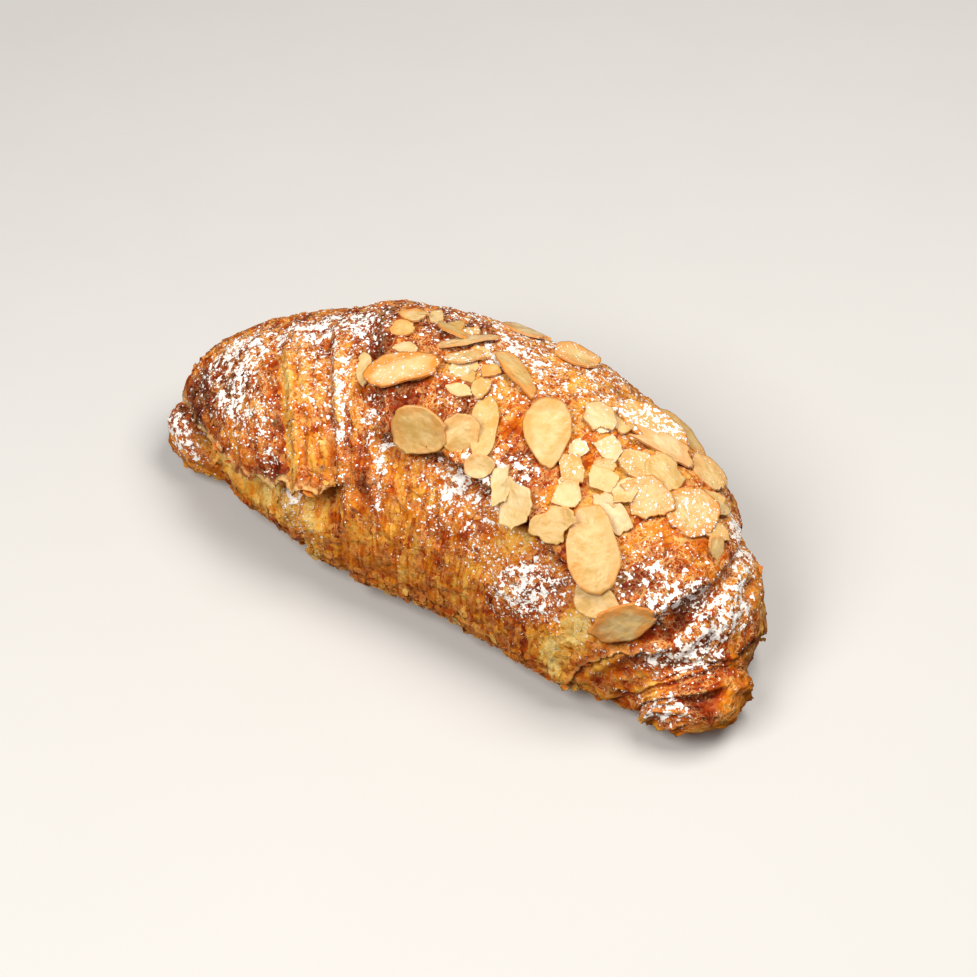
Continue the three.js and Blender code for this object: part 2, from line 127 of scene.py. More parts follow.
SEAM_DEPTH = 7.5
SEAM_FALL = 1.0
SEAM_BAND = (3.0, 11.0)
SEAM_LIP = 3.1
SEAM_LIP_FADE = 6.0
SEAM_LEFT_END = (-84.0, -76.0)
SEAM_RIGHT_END = (-36.0, -22.0)
SEAM_STEP = 3.0
SEAM_RADIUS = 24.0
SEAM_OVERHANG = 1.4
ARC = 0.6  # millimetres along the skin for one degree of angle
RELIEF_WIDTH = 9.0  # half width of the section that carries the full forms
FINE_RELIEF_WIDTH = 5.0
RELIEF_RISE = (-1.0, -0.7)  # sine of the angle over which relief fades to the underside

# How far the dough's strands lean along the length on their way down the front, by station
LEAN_STATIONS = (-90, -50, -30, -12, 5, 25, 60, 90)
LEANS = (8, 17, 21, 14, 2, -8, -14, -4)

# Lumps and pits: station, angle, radius, height
LUMPS = (
    (-44, 172, 4.5, 3.4),
    (-37, 173, 3.5, 2.6),
    (-62, 143, 5.0, 1.0),
    (65, 24, 4.0, 2.0),
    (71, 41, 2.2, -3.4),
    (-20, 152, 2.2, -1.2),
    (28, 50, 8.0, -2.0),
    (60, 20, 9.0, -2.0),
)

# Grid of the crust
COLUMN_RUNS = (26, 52, 6, 24, 6, 32, 6, 186, 6, 24, 3, 16, 16, 3, 20)
ROW_RUNS = (8, 52, 5, 36, 5, 66, 48, 10)
CROSSING_PASSES = 14
ROW_RISE = 24.0
ROW_RISE_RUN = (-70.0, -40.0)

# Fine relief of the crust
CRAG_HEIGHT = 0.65
STRAND_HEIGHT = 0.3
TERRACE_HEIGHT = 0.35
BLISTER_HEIGHT = 0.5
PLATE_HEIGHT = 0.5
FINE_PLATE_HEIGHT = 0.22
THIN_LAYER_HEIGHT = 1.0
FOLD_SAW = 2.2
CRAG_SIZE = 7.0
BLISTER_SIZE = 4.6
PLATE_SIZE = 3.0
FINE_PLATE_SIZE = 1.5
RIM_LAYER_SPACING = 1.5
SEAM_LAYER_SPACING = 1.7
RIGHT_LAYER_SPACING = 1.9
RIGHT_FOLD_SPACING = 5.2
RIGHT_FOLD_START = 69.5
RIGHT_FOLD_SLANT = 9.0
SMALL_FOLD_SPACING = 4.9
SMALL_FOLD_HEIGHT = 0.5

# How much each part of the form adds to the browning, from 0 for pale dough to 1 for dark crust, and to
# painted shade
BROWNING_AND_SHADE = {
    "base": 0.48,
    "top": 0.06,
    "low_front": -0.10,
    "flap_rim": 0.16,
    # Painted shade: darker down in the crack beside the flap's right end
    "crack": 0.16,
    # Painted shade: darker just under the flap's front edge
    "shade_under_flap": 0.25,
    "pale_line": -0.42,
    # Painted shade: a dark line in the groove before the ridge's edge
    "groove_shade": 0.22,
    "seam_lip": 0.12,
    "large_mottle": 0.26,
    "small_mottle": 0.20,
    "strands": 0.16,
    # Painted light and shade: crests of the small left folds lighter, their grooves darker
    "left_fold_shading": -0.10,
    "right_folds": -0.30,
    "right_layers": -0.36,
    "right_tip": 0.11,
    "seam_band": 0.24,
    "seam_layers": -0.20,
    # Painted shadow: a dark band just under the seam's lip
    "seam_gap_shadow": 0.70,
}

# How pale the layers' edges stay, and how much they tear into flakes
PALE_RIMS = {"seam": 0.9, "flap": 0.4, "layer": 0.3, "knob": 0.7}
TORN_EDGES = {"flap": 0.6, "knob": 0.8, "pale": 0.5, "lower": 0.7}
LOWER_EDGE_ANGLE = 196.0
LOWER_EDGE_REACH = 14.0

# Browning, paling and sugar in patches: station, angle, reach along and round in millimetres, amount
BROWNED = (
    (-70, 105, 11, 17, 0.38),
    (-81, 100, 4, 26, 0.12),
    (-54, 150, 8, 9, 0.22),
    (-40, 76, 14, 9, 0.32),
    (-31, 86, 4, 9, 0.28),
    (-17, 109, 8, 5, 0.45),
    (-13, 72, 10, 7, 0.35),
    (1, 103, 7, 6, 0.35),
    (24, 115, 13, 7, 0.36),
    (-29, 170, 6, 6, 0.26),
    (-19, 147, 5, 8, 0.30),
    (11, 160, 8, 8, 0.14),
    (46, 155, 11, 10, 0.40),
    (66, 94, 5, 14, 0.16),
    (66, 112, 5, 6, 0.16),
    (75, 118, 5, 16, 0.15),
    (79, 85, 5, 16, 0.15),
    (89, 100, 5, 20, 0.18),
    (-88, 110, 5, 22, 0.40),
)
PALE = (
    (-64, 143, 5, 7, 0.26),
    (33, 140, 6, 7, 0.34),
    (62, 150, 4, 14, 0.42),
    (57, 182, 6, 9, 0.30),
    (47, 92, 11, 10, 0.10),
    (-6, 150, 10, 14, 0.10),
    (82, 150, 5, 10, 0.20),
    (20, 82, 18, 14, 0.10),
)
SUGAR_LIMIT = 0.52
SUGAR_OVERALL = 0.12
SUGARED = (
    (-69, 108, 9, 18, 0.47),
    (-64, 84, 12, 8, 0.50),
    (-42, 80, 13, 9, 0.58),
    (-44, 110, 5, 16, 0.38),
    (-31, 125, 3, 20, 0.55),
    (-24, 121, 4, 9, 0.50),
    (-56, 135, 6, 10, 0.48),
    (-16, 135, 2.6, 14, 0.70),
    (7, 133, 13, 10, 0.66),
    (25, 139, 8, 10, 0.70),
    (47, 148, 11, 10, 0.62),
    (40, 162, 9, 8, 0.38),
    (74, 87, 4, 11, 0.62),
    (72, 60, 5, 12, 0.62),
    (62, 40, 7, 8, 0.70),
    (73, 124, 6, 14, 0.52),
    (79, 98, 4, 16, 0.46),
    (66, 104, 6, 11, 0.36),
    (88, 142, 4, 14, 0.66),
    (84, 178, 7, 8, 0.50),
    (-88, 115, 6, 22, 0.62),
    (-86, 165, 6, 16, 0.50),
    (-43, 170, 4, 5, 0.55),
    (-40, 182, 7, 6, 0.38),
    (25, 119, 11, 6, 0.50),
    (0, 98, 10, 8, 0.40),
    (-6, 74, 18, 10, 0.42),
    (26, 74, 20, 10, 0.32),
    (60, 96, 9, 7, 0.18),
    (0, 45, 40, 14, 0.35),
)

# Almond flakes, at their places in the solid: form, station, angle, heading, length, width, roll, pitch,
# stand, lift of the end, toast, sugar. A heading is 0 towards the right tip and 90 down the front.
FLAKE_THICKNESS = 0.6
FLAKE_STAND = 0.3
FLAKE_CURL = 0.006
FLAKE_CUPS = (-0.008, 0.02)
FLAKE_TINTS = (-0.3, 0.4)
FLAKES = (
    ("slice", -31, 101, 67, 11, 4.2, 10, 0, 0.8, 0, 0.05, 0.0),
    ("oblong", -19, 100, -30, 19, 10.5, -8, 0, 0.6, 0, 0.95, 0.24),
    ("torn", -25, 75, 13, 9, 6, 0, 0, 0.6, 0.8, 0.8, 0.1),
    ("torn", -25, 84, -20, 7.5, 5, 6, 0, 0.4, 0, 0.5, 0.1),
    ("chip", -22, 91, 0, 7, 4, 0, 0, 0.4, 0, 0.3, 0.2),
    ("slice", -15, 78, 20, 9.5, 5, -20, 0, 0.8, 0, 0.5, 0.1),
    ("slice", -10, 80, -43, 16, 6.5, -24, 0, 1, 0, 0.3, 0.15),
    ("torn", -7, 87, -31, 13, 6, -16, 0, 0.6, 0, 0.45, 0.3),
    ("chip", -4.5, 93, 70, 6, 5.5, 0, 0, 0.5, 0, 0.1, 0.1),
    ("oblong", -6.2, 118, -16, 14.5, 12, 38, 0, 1.7, 1.6, 0.4, 0.0),
    ("torn", 4, 115, 150, 10.5, 9.5, -32, 0, 1.3, 1.4, 0.35, 0.0),
    ("oblong", 9, 110, 64, 18, 6.5, -6, 0, 0.5, 0, 0.1, 0.1),
    ("slice", 15, 120, -36, 8, 6, 20, 0, 0.8, 1.2, 0.45, 0.0),
    ("slice", 6, 86, 30, 18, 7, -20, 0, 0.9, 0, 0.6, 0.05),
    ("torn", -2, 54, 7, 15, 7, -2, 0, 0.5, 0, 0.6, 0.1),
    ("oblong", 11, 58, -33, 12, 9, 12, 0, 0.7, 0, 0.6, 0.25),
    ("slice", 23, 98, 49, 20, 11.5, 4, 0, 0.4, 0, 0.45, 0.05),
    ("torn", 29, 83, 38, 11, 8, 0, 0, 0.3, 0, 0.3, 0.2),
    ("torn", 32, 77, 70, 9, 6, 6, 0, 0.7, 0, 0.2, 0.1),
    ("oblong", 36, 65, -34, 19, 9.5, 14, 0, 1.5, 0, 0.95, 0.46),
    ("ragged", 41, 67, -43, 18, 8, 6, 0, 0.7, 0, 0.5, 0.1),
    ("slice", 37, 46, -18, 17, 9, 6, 0, 0.8, 0, 0.5, 0.2),
    ("torn", 47, 76, -89, 12, 10, 6, 0, 0.9, 0, 0.05, 0.1),
    ("ragged", 51, 90, -37, 15, 11, 8, 0, 0.5, 0, 0.6, 0.28),
    ("oblong", 57, 74, -83, 14, 12, 0, 0, 0.5, 1, 0.9, 0.34),
    ("torn", 49, 50, -24, 13, 9, 10, 0, 0.7, 0, 0.3, 0.2),
    ("oblong", 54, 116, 212, 22, 11.5, 5, 4, 1.0, 0, 0.4, 0.0),
    ("torn", 51, 102, -4, 15, 6, 8, 0, 0.4, 0, 0.35, 0.0),
    ("slice", 64, 128, -25, 12, 8.5, 0, 0, 0.6, 0, 0.05, 0.0),
    ("torn", 69, 122, -72, 18, 10.5, 20, 0, 1.8, 0, 0.8, 0.0),
    ("ragged", 24, 121, 55, 11, 6, 14, 0, 0.9, 1.6, 0.0, 0.0),
    ("ragged", 31, 123, 20, 14, 10, 18, 0, 1.6, 2.0, 0.0, 0.0),
    ("ragged", 43, 121, -65, 11, 9.5, 6, 0, 1.2, 1.4, 0.05, 0.0),
    ("chip", 40, 111, -20, 8, 8, 0, 0, 0.3, 0, 0.5, 0.1),
    ("chip", 42, 97, 0, 8, 7, 0, 0, 0.5, 0, 0.1, 0.1),
    ("chip", 62, 66, -80, 8, 5, 0, 0, 0.3, 0, 0.3, 0.2),
    ("chip", 56, 60, -26, 9, 6, 8, 0, 0.3, 0, 0.3, 0.1),
    ("torn", -3, 100, -12, 8, 3.5, 4, 0, 0.5, 0, 0.5, 0.1),
    ("chip", 64.5, 70, 60, 8, 6, -24, 0, 0.8, 1.0, 0.4, 0.0),
    ("slice", 57, 59, -70, 8, 3.5, 10, 0, 0.6, 0, 0.1, 0.0),
    ("torn", 44, 84, -20, 12, 9, -8, 0, 0.5, 0.6, 0.3, 0.3),
    ("chip", 36, 88, 40, 9, 7, 8, 0, 0.4, 0, 0.2, 0.3),
    ("chip", 47, 94, 75, 9, 6, 10, 0, 0.6, 0.4, 0.3, 0.1),
    ("chip", 35, 103, 15, 9, 7, 0, 0, 0.4, 0, 0.4, 0.3),
)
CHIP_SEED = 11
CHIP_CORNERS = {"chip": 7, "ragged": 13}
CHIP_REACHES = {"chip": (0.72, 1.2), "ragged": (0.62, 1.18)}
CHIP_LENGTHS = (5.0, 8.0)
CHIP_WIDTHS = (4.0, 6.0)
CHIP_ROLLS = (-10.0, 10.0)
CHIP_STAND = 0.3
CHIP_TOASTS = (0.0, 0.7)
CHIP_SUGARS = (0.0, 0.4)
CHIP_ZONES = (
    {"stations": (-22.0, 4.0), "angles": (70.0, 104.0), "count": 8},
    {"stations": (22.0, 50.0), "angles": (70.0, 112.0), "count": 7},
)

# Thin scales of flaking crust and grains of sugar; lifts and curls are shares of a scale's size
SCATTER_TRIES = 60
SCATTER_ANGLES = (-40.0, 228.0)
SCALE_COUNT = 3800
SCALE_SEED = 5
SCALE_CORNERS = 9
SCALE_SIZES = (0.35, 0.95)
SCALE_STRETCHES = (0.9, 1.7)
SCALE_REACHES = (0.55, 1.2)
SCALE_LIFTS = (0.02, 0.14)
SCALE_CURLS = (-0.06, 0.08)
SCALE_THICKNESS = 0.10
SCALE_HINGE = 0.35
SCALE_TONES = (0.02, 0.10)
SCALE_SUGAR = 0.7
SCALE_RIM = 0.35
SCALE_SHARE = 0.13
TORN_SHARE = 0.40
TORN_GROWTH = 1.5
TORN_LIFT = 0.28
GRAIN_COUNT = 7000
GRAIN_SEED = 8
GRAIN_SIZE = 0.15
GRAIN_LARGEST = 0.32
GRAIN_SPREAD = 0.4
GRAIN_STRETCHES = (0.6, 1.6)
GRAIN_REACHES = (0.6, 1.4)
GRAIN_FLATNESS = 0.5
GRAIN_STAND = 0.1

# Camera and light
AZIMUTH = math.radians(30.0)
ELEVATION = math.radians(48.0)
DISTANCE = 0.65
LENS = 95.0
SENSOR_WIDTH = 36.0
CLIP_START = 0.01
LOOK_AT = Vector((0.0050, -0.0053, 0.0259))
FLOOR_REACH = 1.5
LIGHTS = (
    {"name": "key", "place": (0.22, 0.10, 0.67), "size": 0.36, "power": 4.8, "colour": (1.0, 0.97, 0.93)},
    {"name": "fill", "place": (-0.12, -0.48, 0.64), "size": 0.4, "power": 5.9, "colour": (1.0, 0.98, 0.95)},
)
WORLD_COLOUR = (1.0, 0.97, 0.94, 1.0)
WORLD_STRENGTH = 0.20


# Small helpers on arrays

def ramp(x, low, high):
    share = np.clip((x - low) / (high - low), 0.0, 1.0)
    return share * share * (3.0 - 2.0 * share)


def bell(x, width):
    return np.exp(-((x / width) ** 2))


def fall(x, reach):
    """1 at and before 0, then dying away."""
    return np.exp(-np.maximum(x, 0.0) / reach)


def before(x, reach):
    """1 just before 0, dying away further before it, and nothing after it."""
    return np.exp(np.minimum(x, 0.0) / reach) * (x < 0.0)


def between(x, start, end):
    """Rises over the first pair of limits and falls over the second."""
    return ramp(x, *start) * (1.0 - ramp(x, *end))


def saw(x):
    """Rises slowly and falls steeply, once a unit."""
    part = x - np.floor(x)
    return part * (1.0 - ramp(part, 0.75, 1.0)) - 0.35


def pair(a, b):
    return np.stack(np.broadcast_arrays(np.asarray(a, float), np.asarray(b, float)), axis=-1)


def unit(vectors):
    return vectors / np.maximum(np.linalg.norm(vectors, axis=-1, keepdims=True), 1e-9)


def lattice(cells, seed):
    """A number from -1 to 1 for each whole-number cell, always the same for the same seed."""
    mixed = np.full(cells.shape[:-1], seed * 974634777 + 12345, np.uint64)
    for axis, factor in enumerate((374761393, 668265263, 2246822519)[: cells.shape[-1]]):
        mixed = mixed + cells[..., axis].astype(np.int64).astype(np.uint64) * np.uint64(factor)
    mixed = mixed & np.uint64(0xFFFFFFFF)
    for shift, factor in ((15, 2246822519), (13, 3266489917)):
        mixed = mixed ^ (mixed >> np.uint64(shift))
        mixed = (mixed * np.uint64(factor)) & np.uint64(0xFFFFFFFF)
    mixed = mixed ^ (mixed >> np.uint64(16))
    return mixed.astype(np.float64) / 2147483648.0 - 1.0


def noise(points, seed):
    """Smooth gradient noise, about -0.7 to 0.7, for points with two or three columns."""
    base = np.floor(points)
    part = points - base
    eased = part ** 3 * (part * (part * 6.0 - 15.0) + 10.0)
    size = points.shape[-1]
    total = np.zeros(points.shape[:-1])
    for corner in np.ndindex(*(2,) * size):
        step = np.array(corner, float)
        weight = np.prod(np.where(step > 0, eased, 1.0 - eased), axis=-1)
        slope = sum(
            lattice(base + step, seed * 7 + axis) * (part[..., axis] - step[axis]) for axis in range(size)
        )
        total += weight * slope
    return total


def rough(points, seed, octaves=3):
    """Layers of noise, each half as large and half as strong."""
    total = np.zeros(points.shape[:-1])
    for octave in range(octaves):
        total += noise(points * 2.0 ** octave + 17.0 * octave, seed + octave) / 2.0 ** octave
    return total


def plates(points, seed):
    """Flat pieces about scattered centres, each with its own tilt: height, and distance to the centre."""
    base = np.floor(points)
    nearest = np.full(points.shape[:-1], 9.0)
    height = np.zeros(points.shape[:-1])
    for corner in np.ndindex(3, 3, 3):
        cell = base + np.array(corner, float) - 1.0
        shift = np.stack([0.5 + 0.45 * lattice(cell, seed + axis) for axis in range(3)], axis=-1)
        offset = points - cell - shift
        distance = np.linalg.norm(offset, axis=-1)
        tilt = sum(lattice(cell, seed + 5 + axis) * offset[..., axis] for axis in range(3))
        height = np.where(distance < nearest, tilt, height)
        nearest = np.minimum(distance, nearest)
    return height, nearest


# Form of the dough

RING = np.linspace(-95.0, 275.0, 1481)
SPINE = np.linspace(-95.0, 95.0, 1521)
RING_CIRCLE = pair(np.cos(np.radians(RING)) * 6.0, np.sin(np.radians(RING)) * 6.0)
RING_WAVES = {name: RAGGED * rough(RING_CIRCLE, 60 + index, 4) for index, name in enumerate(EDGES)}
FLAP_WAVE = 3.5 * rough(pair(SPINE / 7.0, 3.3), 71, 4)
SEAM_WAVE = 6.0 * rough(pair(SPINE / 4.0, 9.1), 72, 4)


def edge_station(name, angle):
    """The station of a wrap's edge, which lies in a tilted plane and is a little ragged."""
    back, top, front = EDGES[name]
    mean = (back + front) / 2.0
    turn = np.radians(angle)
    plane = mean + (top - mean) * np.sin(turn) + (back - front) / 2.0 * np.cos(turn)
    return plane + np.interp(angle, RING, RING_WAVES[name])


def past_edge(name, station, angle):
    return station - edge_station(name, angle)


def flap_front_angle(station):
    droop = FLAP_FRONT_DROOP * ramp(station, *FLAP_DROOP_RUN)
    return FLAP_FRONT_ANGLE + FLAP_FRONT_SLOPE * station + droop + np.interp(station, SPINE, FLAP_WAVE)


def seam_angle(station):
    x = station - SEAM_STATION
    climb = np.where(x < 0.0, SEAM_CLIMB_LEFT, SEAM_CLIMB_RIGHT)
    return SEAM_ANGLE - climb * x * x + np.interp(station, SPINE, SEAM_WAVE)


def taper(share, form):
    power, root, blunt = form
    reach = np.clip(share, 0.0, 1.0)
    return (1.0 - (LOBE_TAPER * reach) ** power) ** root * (1.0 - reach ** LOBE_CAP_POWER) ** blunt


def envelope(station, angle):
    """Half width, top and bottom of the section: a lobe each way with a knob out of its end."""
    left = station < 0.0
    share = station / np.where(left, edge_station("knob", angle), edge_station("lobe", angle))
    width = HALF_WIDTH * np.where(left, taper(share, LEFT_LOBE["width"]), taper(share, RIGHT_LOBE["width"]))
    span = np.where(left, taper(share, LEFT_LOBE["height"]), taper(share, RIGHT_LOBE["height"]))
    left_lift = LEFT_LIFT * ramp(-station, *LEFT_LIFT_RUN)
    right_lift = RIGHT_LIFT * ramp(station, *RIGHT_LIFT_RUN)
    low = np.where(left, left_lift, right_lift) - BASE_SINK
    top = HEIGHT * span
    for knob, here in ((LEFT_KNOB, station < -KNOB_REGION), (RIGHT_KNOB, station > KNOB_REGION)):
        out = np.clip((np.abs(station) - knob["start"]) / knob["reach"], 0.0, 1.0)
        swell = np.sqrt(1.0 - out * out)
        knob_low = knob["middle"] - knob["drop"] * swell
        lobe_low = low + (knob["middle"] - low) * (1.0 - span) ** 2
        knob_low = np.where(span > 0.0, np.minimum(knob_low, lobe_low), knob_low)
        width = np.where(here, np.maximum(width, knob["half_width"] * swell), width)
        top = np.where(here, np.maximum(top, knob["middle"] + knob["rise"] * swell), top)
        low = np.where(here, knob_low, low)
    return width, top, low


def flap_distances(station, angle):
    """Distances inward from the flap's left, right and front edges, and how much the flap shows."""
    from_left = past_edge("flap_left", station, angle)
    from_right = -past_edge("flap_right", station, angle)
    from_front = np.radians(flap_front_angle(station) - angle) * FLAP_RADIUS
    showing = 0.3 * ramp(angle, -60, -10) + 0.7 * ramp(angle, 35, 95)
    return from_left, from_right, from_front, showing


def seam_distances(station, angle):
    """Distance below the seam, and how far it is open."""
    below = np.radians(angle - seam_angle(station)) * SEAM_RADIUS
    return below, between(station, SEAM_LEFT_END, SEAM_RIGHT_END)


def forms(station, angle):
    """Height of the wraps over the envelope, and how far their lips hang over, along and around."""
    height = np.zeros(np.broadcast(station, angle).shape)
    for edge in ("pale", "ridge"):
        x = past_edge(edge, station, angle)
        ridge = RIDGE_HEIGHT * ramp(x, 0, STEP_WIDTH) * fall(x, RIDGE_FADE)
        height = height + (ridge - RIDGE_GROOVE * bell(x + 1.2, 2.0)) * ramp(angle, 60, 95)

    left, right, front, showing = flap_distances(station, angle)
    easing = FLAP_EASING * (1.0 - ramp(angle, 70, 105))
    inside = ramp(left, -easing, STEP_WIDTH) * ramp(right, 0, STEP_WIDTH) * ramp(front, 0, STEP_WIDTH)
    inward = np.minimum(np.minimum(left, right), front)
    raised = FLAP_SETTLED + (FLAP_HEIGHT - FLAP_SETTLED) * fall(inward, FLAP_FADE)
    undercut = FLAP_UNDERCUT * bell(front + 1.0, 1.6) * ramp(left, -3, 0) * ramp(right, -3, 0)
    crack = CRACK_DEPTH * bell(right + 1.2, 1.6) * ramp(front, -3, 0)
    crest = CREST_HEIGHT * bell(right + 5.5, 2.8) * ramp(front, -8, 0)
    height = height + showing * (raised * inside - undercut - crack + crest)
    lip = FLAP_OVERHANG * showing * inside
    along = lip * (fall(right - STEP_WIDTH, LIP_FADE) - fall(left - STEP_WIDTH, LIP_FADE))
    around = lip * fall(front - STEP_WIDTH, LIP_FADE) / ARC

    below, opening = seam_distances(station, angle)
    recess = SEAM_DEPTH * between(below, (0.0, SEAM_FALL), SEAM_BAND)
    height = height + opening * (SEAM_LIP * before(below, SEAM_LIP_FADE) - recess)
    hang = np.where(below < 0.0, fall(-below, LIP_FADE), 1.0 - ramp(below, 0, SEAM_FALL))
    around = around + opening * SEAM_OVERHANG * hang / ARC

    from_knob = past_edge("knob", station, angle)
    from_lobe = -past_edge("lobe", station, angle)
    past_fold = past_edge("fold", station, angle)
    past_layer = past_edge("layer", station, angle)
    height = height - CREASE_DEPTH * (bell(from_knob, 1.0) + bell(from_lobe, 1.0))
    height = height + FOLD_HEIGHT * before(past_fold, FOLD_FADE)
    height = height + LAYER_HEIGHT * before(past_layer, LAYER_FADE)
    along = along - LOBE_OVERHANG * ramp(from_knob, 0, STEP_WIDTH) * fall(from_knob, LOBE_LIP_FADE)
    along = along + LOBE_OVERHANG * ramp(from_lobe, 0, STEP_WIDTH) * fall(from_lobe, LOBE_LIP_FADE)
    along = along + LOBE_OVERHANG * before(past_layer, LOBE_LIP_FADE)
    return height, along, around


def bare_point(station, angle):
    """A point of the plain envelope out from the centreline and up, its directions and the half width."""
    turn = np.radians(angle)
    across = np.cos(turn)
    upward = np.sin(turn)
    width, top, low = envelope(station, angle)
    waist = low + WAIST * (top - low)
    slimming = LEFT_SLIMMING * ramp(-station, *LEFT_SLIMMING_RUN)
    slimming = slimming + RIGHT_SLIMMING * between(station, RIGHT_SLIMMING_RUN, RIGHT_SLIMMING_END)
    half = width * np.where(across > 0.0, 1.0 - slimming, 1.0)
    power = np.where(upward > 0.0, UPPER_ROUNDING["side"], LOWER_ROUNDING["side"])
    side = half * np.sign(across) * np.abs(across) ** power
    above = (top - waist) * np.maximum(upward, 0.0) ** UPPER_ROUNDING["rise"]
    under = (waist - low) * np.maximum(-upward, 0.0) ** LOWER_ROUNDING["rise"]
    return side, waist + above - under, across, upward, width


def bend(station, out, height):
    """From station, distance out from the centreline and height to X, Y, Z."""
    radius = np.where(station < 0.0, LEFT_LENGTH / LEFT_TURN, RIGHT_LENGTH / RIGHT_TURN)
    turn = station / radius
    x = (radius + out) * np.sin(turn) - BOX_CENTRE[0]
    y = (radius + out) * np.cos(turn) - radius - BOX_CENTRE[1]
    return np.stack(np.broadcast_arrays(x, y, height), axis=-1)


def flow_station(station, angle):
    """The station at which the dough's strands through this point cross the top."""
    return station - np.interp(station, LEAN_STATIONS, LEANS) * ramp(angle, 70, 190)


def right_layers(station, angle, place):
    """Folds and thin layers slanting round the right tip, from -0.35 to 0.65, and how much they show."""
    wobble = rough(place / 6.0, 37, 2)
    slanted = station - RIGHT_FOLD_SLANT * np.sin(np.radians(angle))
    folds = saw((slanted - RIGHT_FOLD_START) / RIGHT_FOLD_SPACING + 0.3 * wobble)
    thin = saw(slanted / RIGHT_LAYER_SPACING + 0.8 * wobble)
    showing = ramp(slanted, 65, 70) * ramp(angle, 50, 80) * between(station, (67, 72), (88, 91.5))
    return folds, thin, showing


def left_ridges(station, angle):
    """Folds between the left lobe and the flap, from -1 in a groove to 1."""
    across = past_edge("ridge", station, angle)
    showing = between(across, (-16, -11), (10, 15)) * between(angle, (80, 98), (136, 152))
    return -np.cos(2.0 * np.pi * across / SMALL_FOLD_SPACING) * showing


def end_layers(station, angle, place):
    """Ends of the rolled layers: on the left lobe's rim, in the seam and slanting round the right tip."""
    wobble = 0.8 * rough(place / 5.0, 37, 2)
    rim = past_edge("knob", station, angle)
    left = saw(rim / RIM_LAYER_SPACING + wobble) * between(rim, (-1, 1), (4, 7))
    below, opening = seam_distances(station, angle)
    band = saw(below / SEAM_LAYER_SPACING + wobble) * opening * between(below, (0.6, 1.6), (9, 13))
    folds, thin, showing = right_layers(station, angle, place)
    ear = saw(angle / 6.0 + wobble) * ramp(station, 60, 66) * (1.0 - ramp(angle, 30, 50))
    return 0.9 * left + 1.0 * band + showing * (FOLD_SAW * folds + 0.8 * thin) + 0.4 * ear


def fine_relief(station, angle, place):
    """Crags, drawn-out strands, ends of thin layers, blisters and flaking plates."""
    flow = flow_station(station, angle)
    crags = rough(place / CRAG_SIZE, 22)
    strands = rough(pair(flow / 1.5, angle / 45.0), 20)
    drawn = (0.3 + ramp(rough(place / 14.0, 23, 2), -0.1, 0.35)) * ramp(angle, 95, 130)
    layers = 3.2 * rough(place / 12.0, 25, 2) + 0.5 * rough(pair(flow / 2.5, angle / 30.0), 26)
    step = np.floor(layers) + ramp(layers - np.floor(layers), 0.72, 1.0)
    tilted, _ = plates(place / PLATE_SIZE, 28)
    fine, _ = plates(place / FINE_PLATE_SIZE, 41)
    _, from_centre = plates(place / BLISTER_SIZE, 55)
    bumps = np.maximum(1.0 - (from_centre / 0.62) ** 2, 0.0) ** 1.4
    blistered = 0.3 + 0.7 * ramp(station, 50, 66)
    relief = CRAG_HEIGHT * crags + STRAND_HEIGHT * strands * drawn + TERRACE_HEIGHT * (step - layers)
    relief = relief + BLISTER_HEIGHT * bumps * blistered + PLATE_HEIGHT * tilted + FINE_PLATE_HEIGHT * fine
    relief = relief * (1.0 - 0.6 * right_layers(station, angle, place)[2])
    relief = relief + THIN_LAYER_HEIGHT * end_layers(station, angle, place)
    relief = relief + SMALL_FOLD_HEIGHT * left_ridges(station, angle)
    for lump_station, lump_angle, radius, height in LUMPS:
        at = (np.float64(lump_station), np.float64(lump_angle))
        side, up, *_ = bare_point(*at)
        middle = bend(at[0], side, up)
        relief = relief + height * bell(np.linalg.norm(place - middle, axis=-1), radius)
    return relief


def skin(station, angle, share=1.0):
    """Points of the crust in millimetres; a share of 0 gives the plain envelope."""
    height, along, around = forms(station, angle)
    visible = ramp(np.sin(np.radians(angle)), *RELIEF_RISE) * share
    width = envelope(station, angle)[0]
    strength = visible * ramp(width, 0, RELIEF_WIDTH)
    moved = np.clip(station + along * strength, -LEFT_LENGTH, RIGHT_LENGTH)
    turned = angle + around * strength
    side, up, across, upward, _ = bare_point(moved, turned)
    out = side + strength * height * across
    level = up + strength * height * np.maximum(upward, -0.2)
    points = bend(moved, out, np.maximum(level, 0.0))
    if share > 0:
        relief = fine_relief(station, angle, bend(moved, side, up))
        relief = visible * ramp(width, 0, FINE_RELIEF_WIDTH) * relief
        points = points + relief[..., None] * skin_frame(moved, turned)[2]
        points[..., 2] = np.maximum(points[..., 2], 0.0)
    return points


def skin_frame(station, angle, share=0.0, along_step=2.0, down_step=3.0):
    """Unit vectors along the station, round the section and outward."""
    along = unit(skin(station + along_step, angle, share) - skin(station - along_step, angle, share))
    down = unit(skin(station, angle + down_step, share) - skin(station, angle - down_step, share))
    return along, down, unit(np.cross(down, along))


# Colour fields over the crust

def patches(station, angle, spots):
    total = np.zeros(np.broadcast(station, angle).shape)
    flow = flow_station(station, angle)
    for spot_station, spot_angle, reach_along, reach_round, amount in spots:
        x = flow - flow_station(np.float64(spot_station), np.float64(spot_angle))
        y = (angle - spot_angle) * ARC
        total = total + amount * np.exp(-((x / reach_along) ** 2) - (y / reach_round) ** 2)
    return total


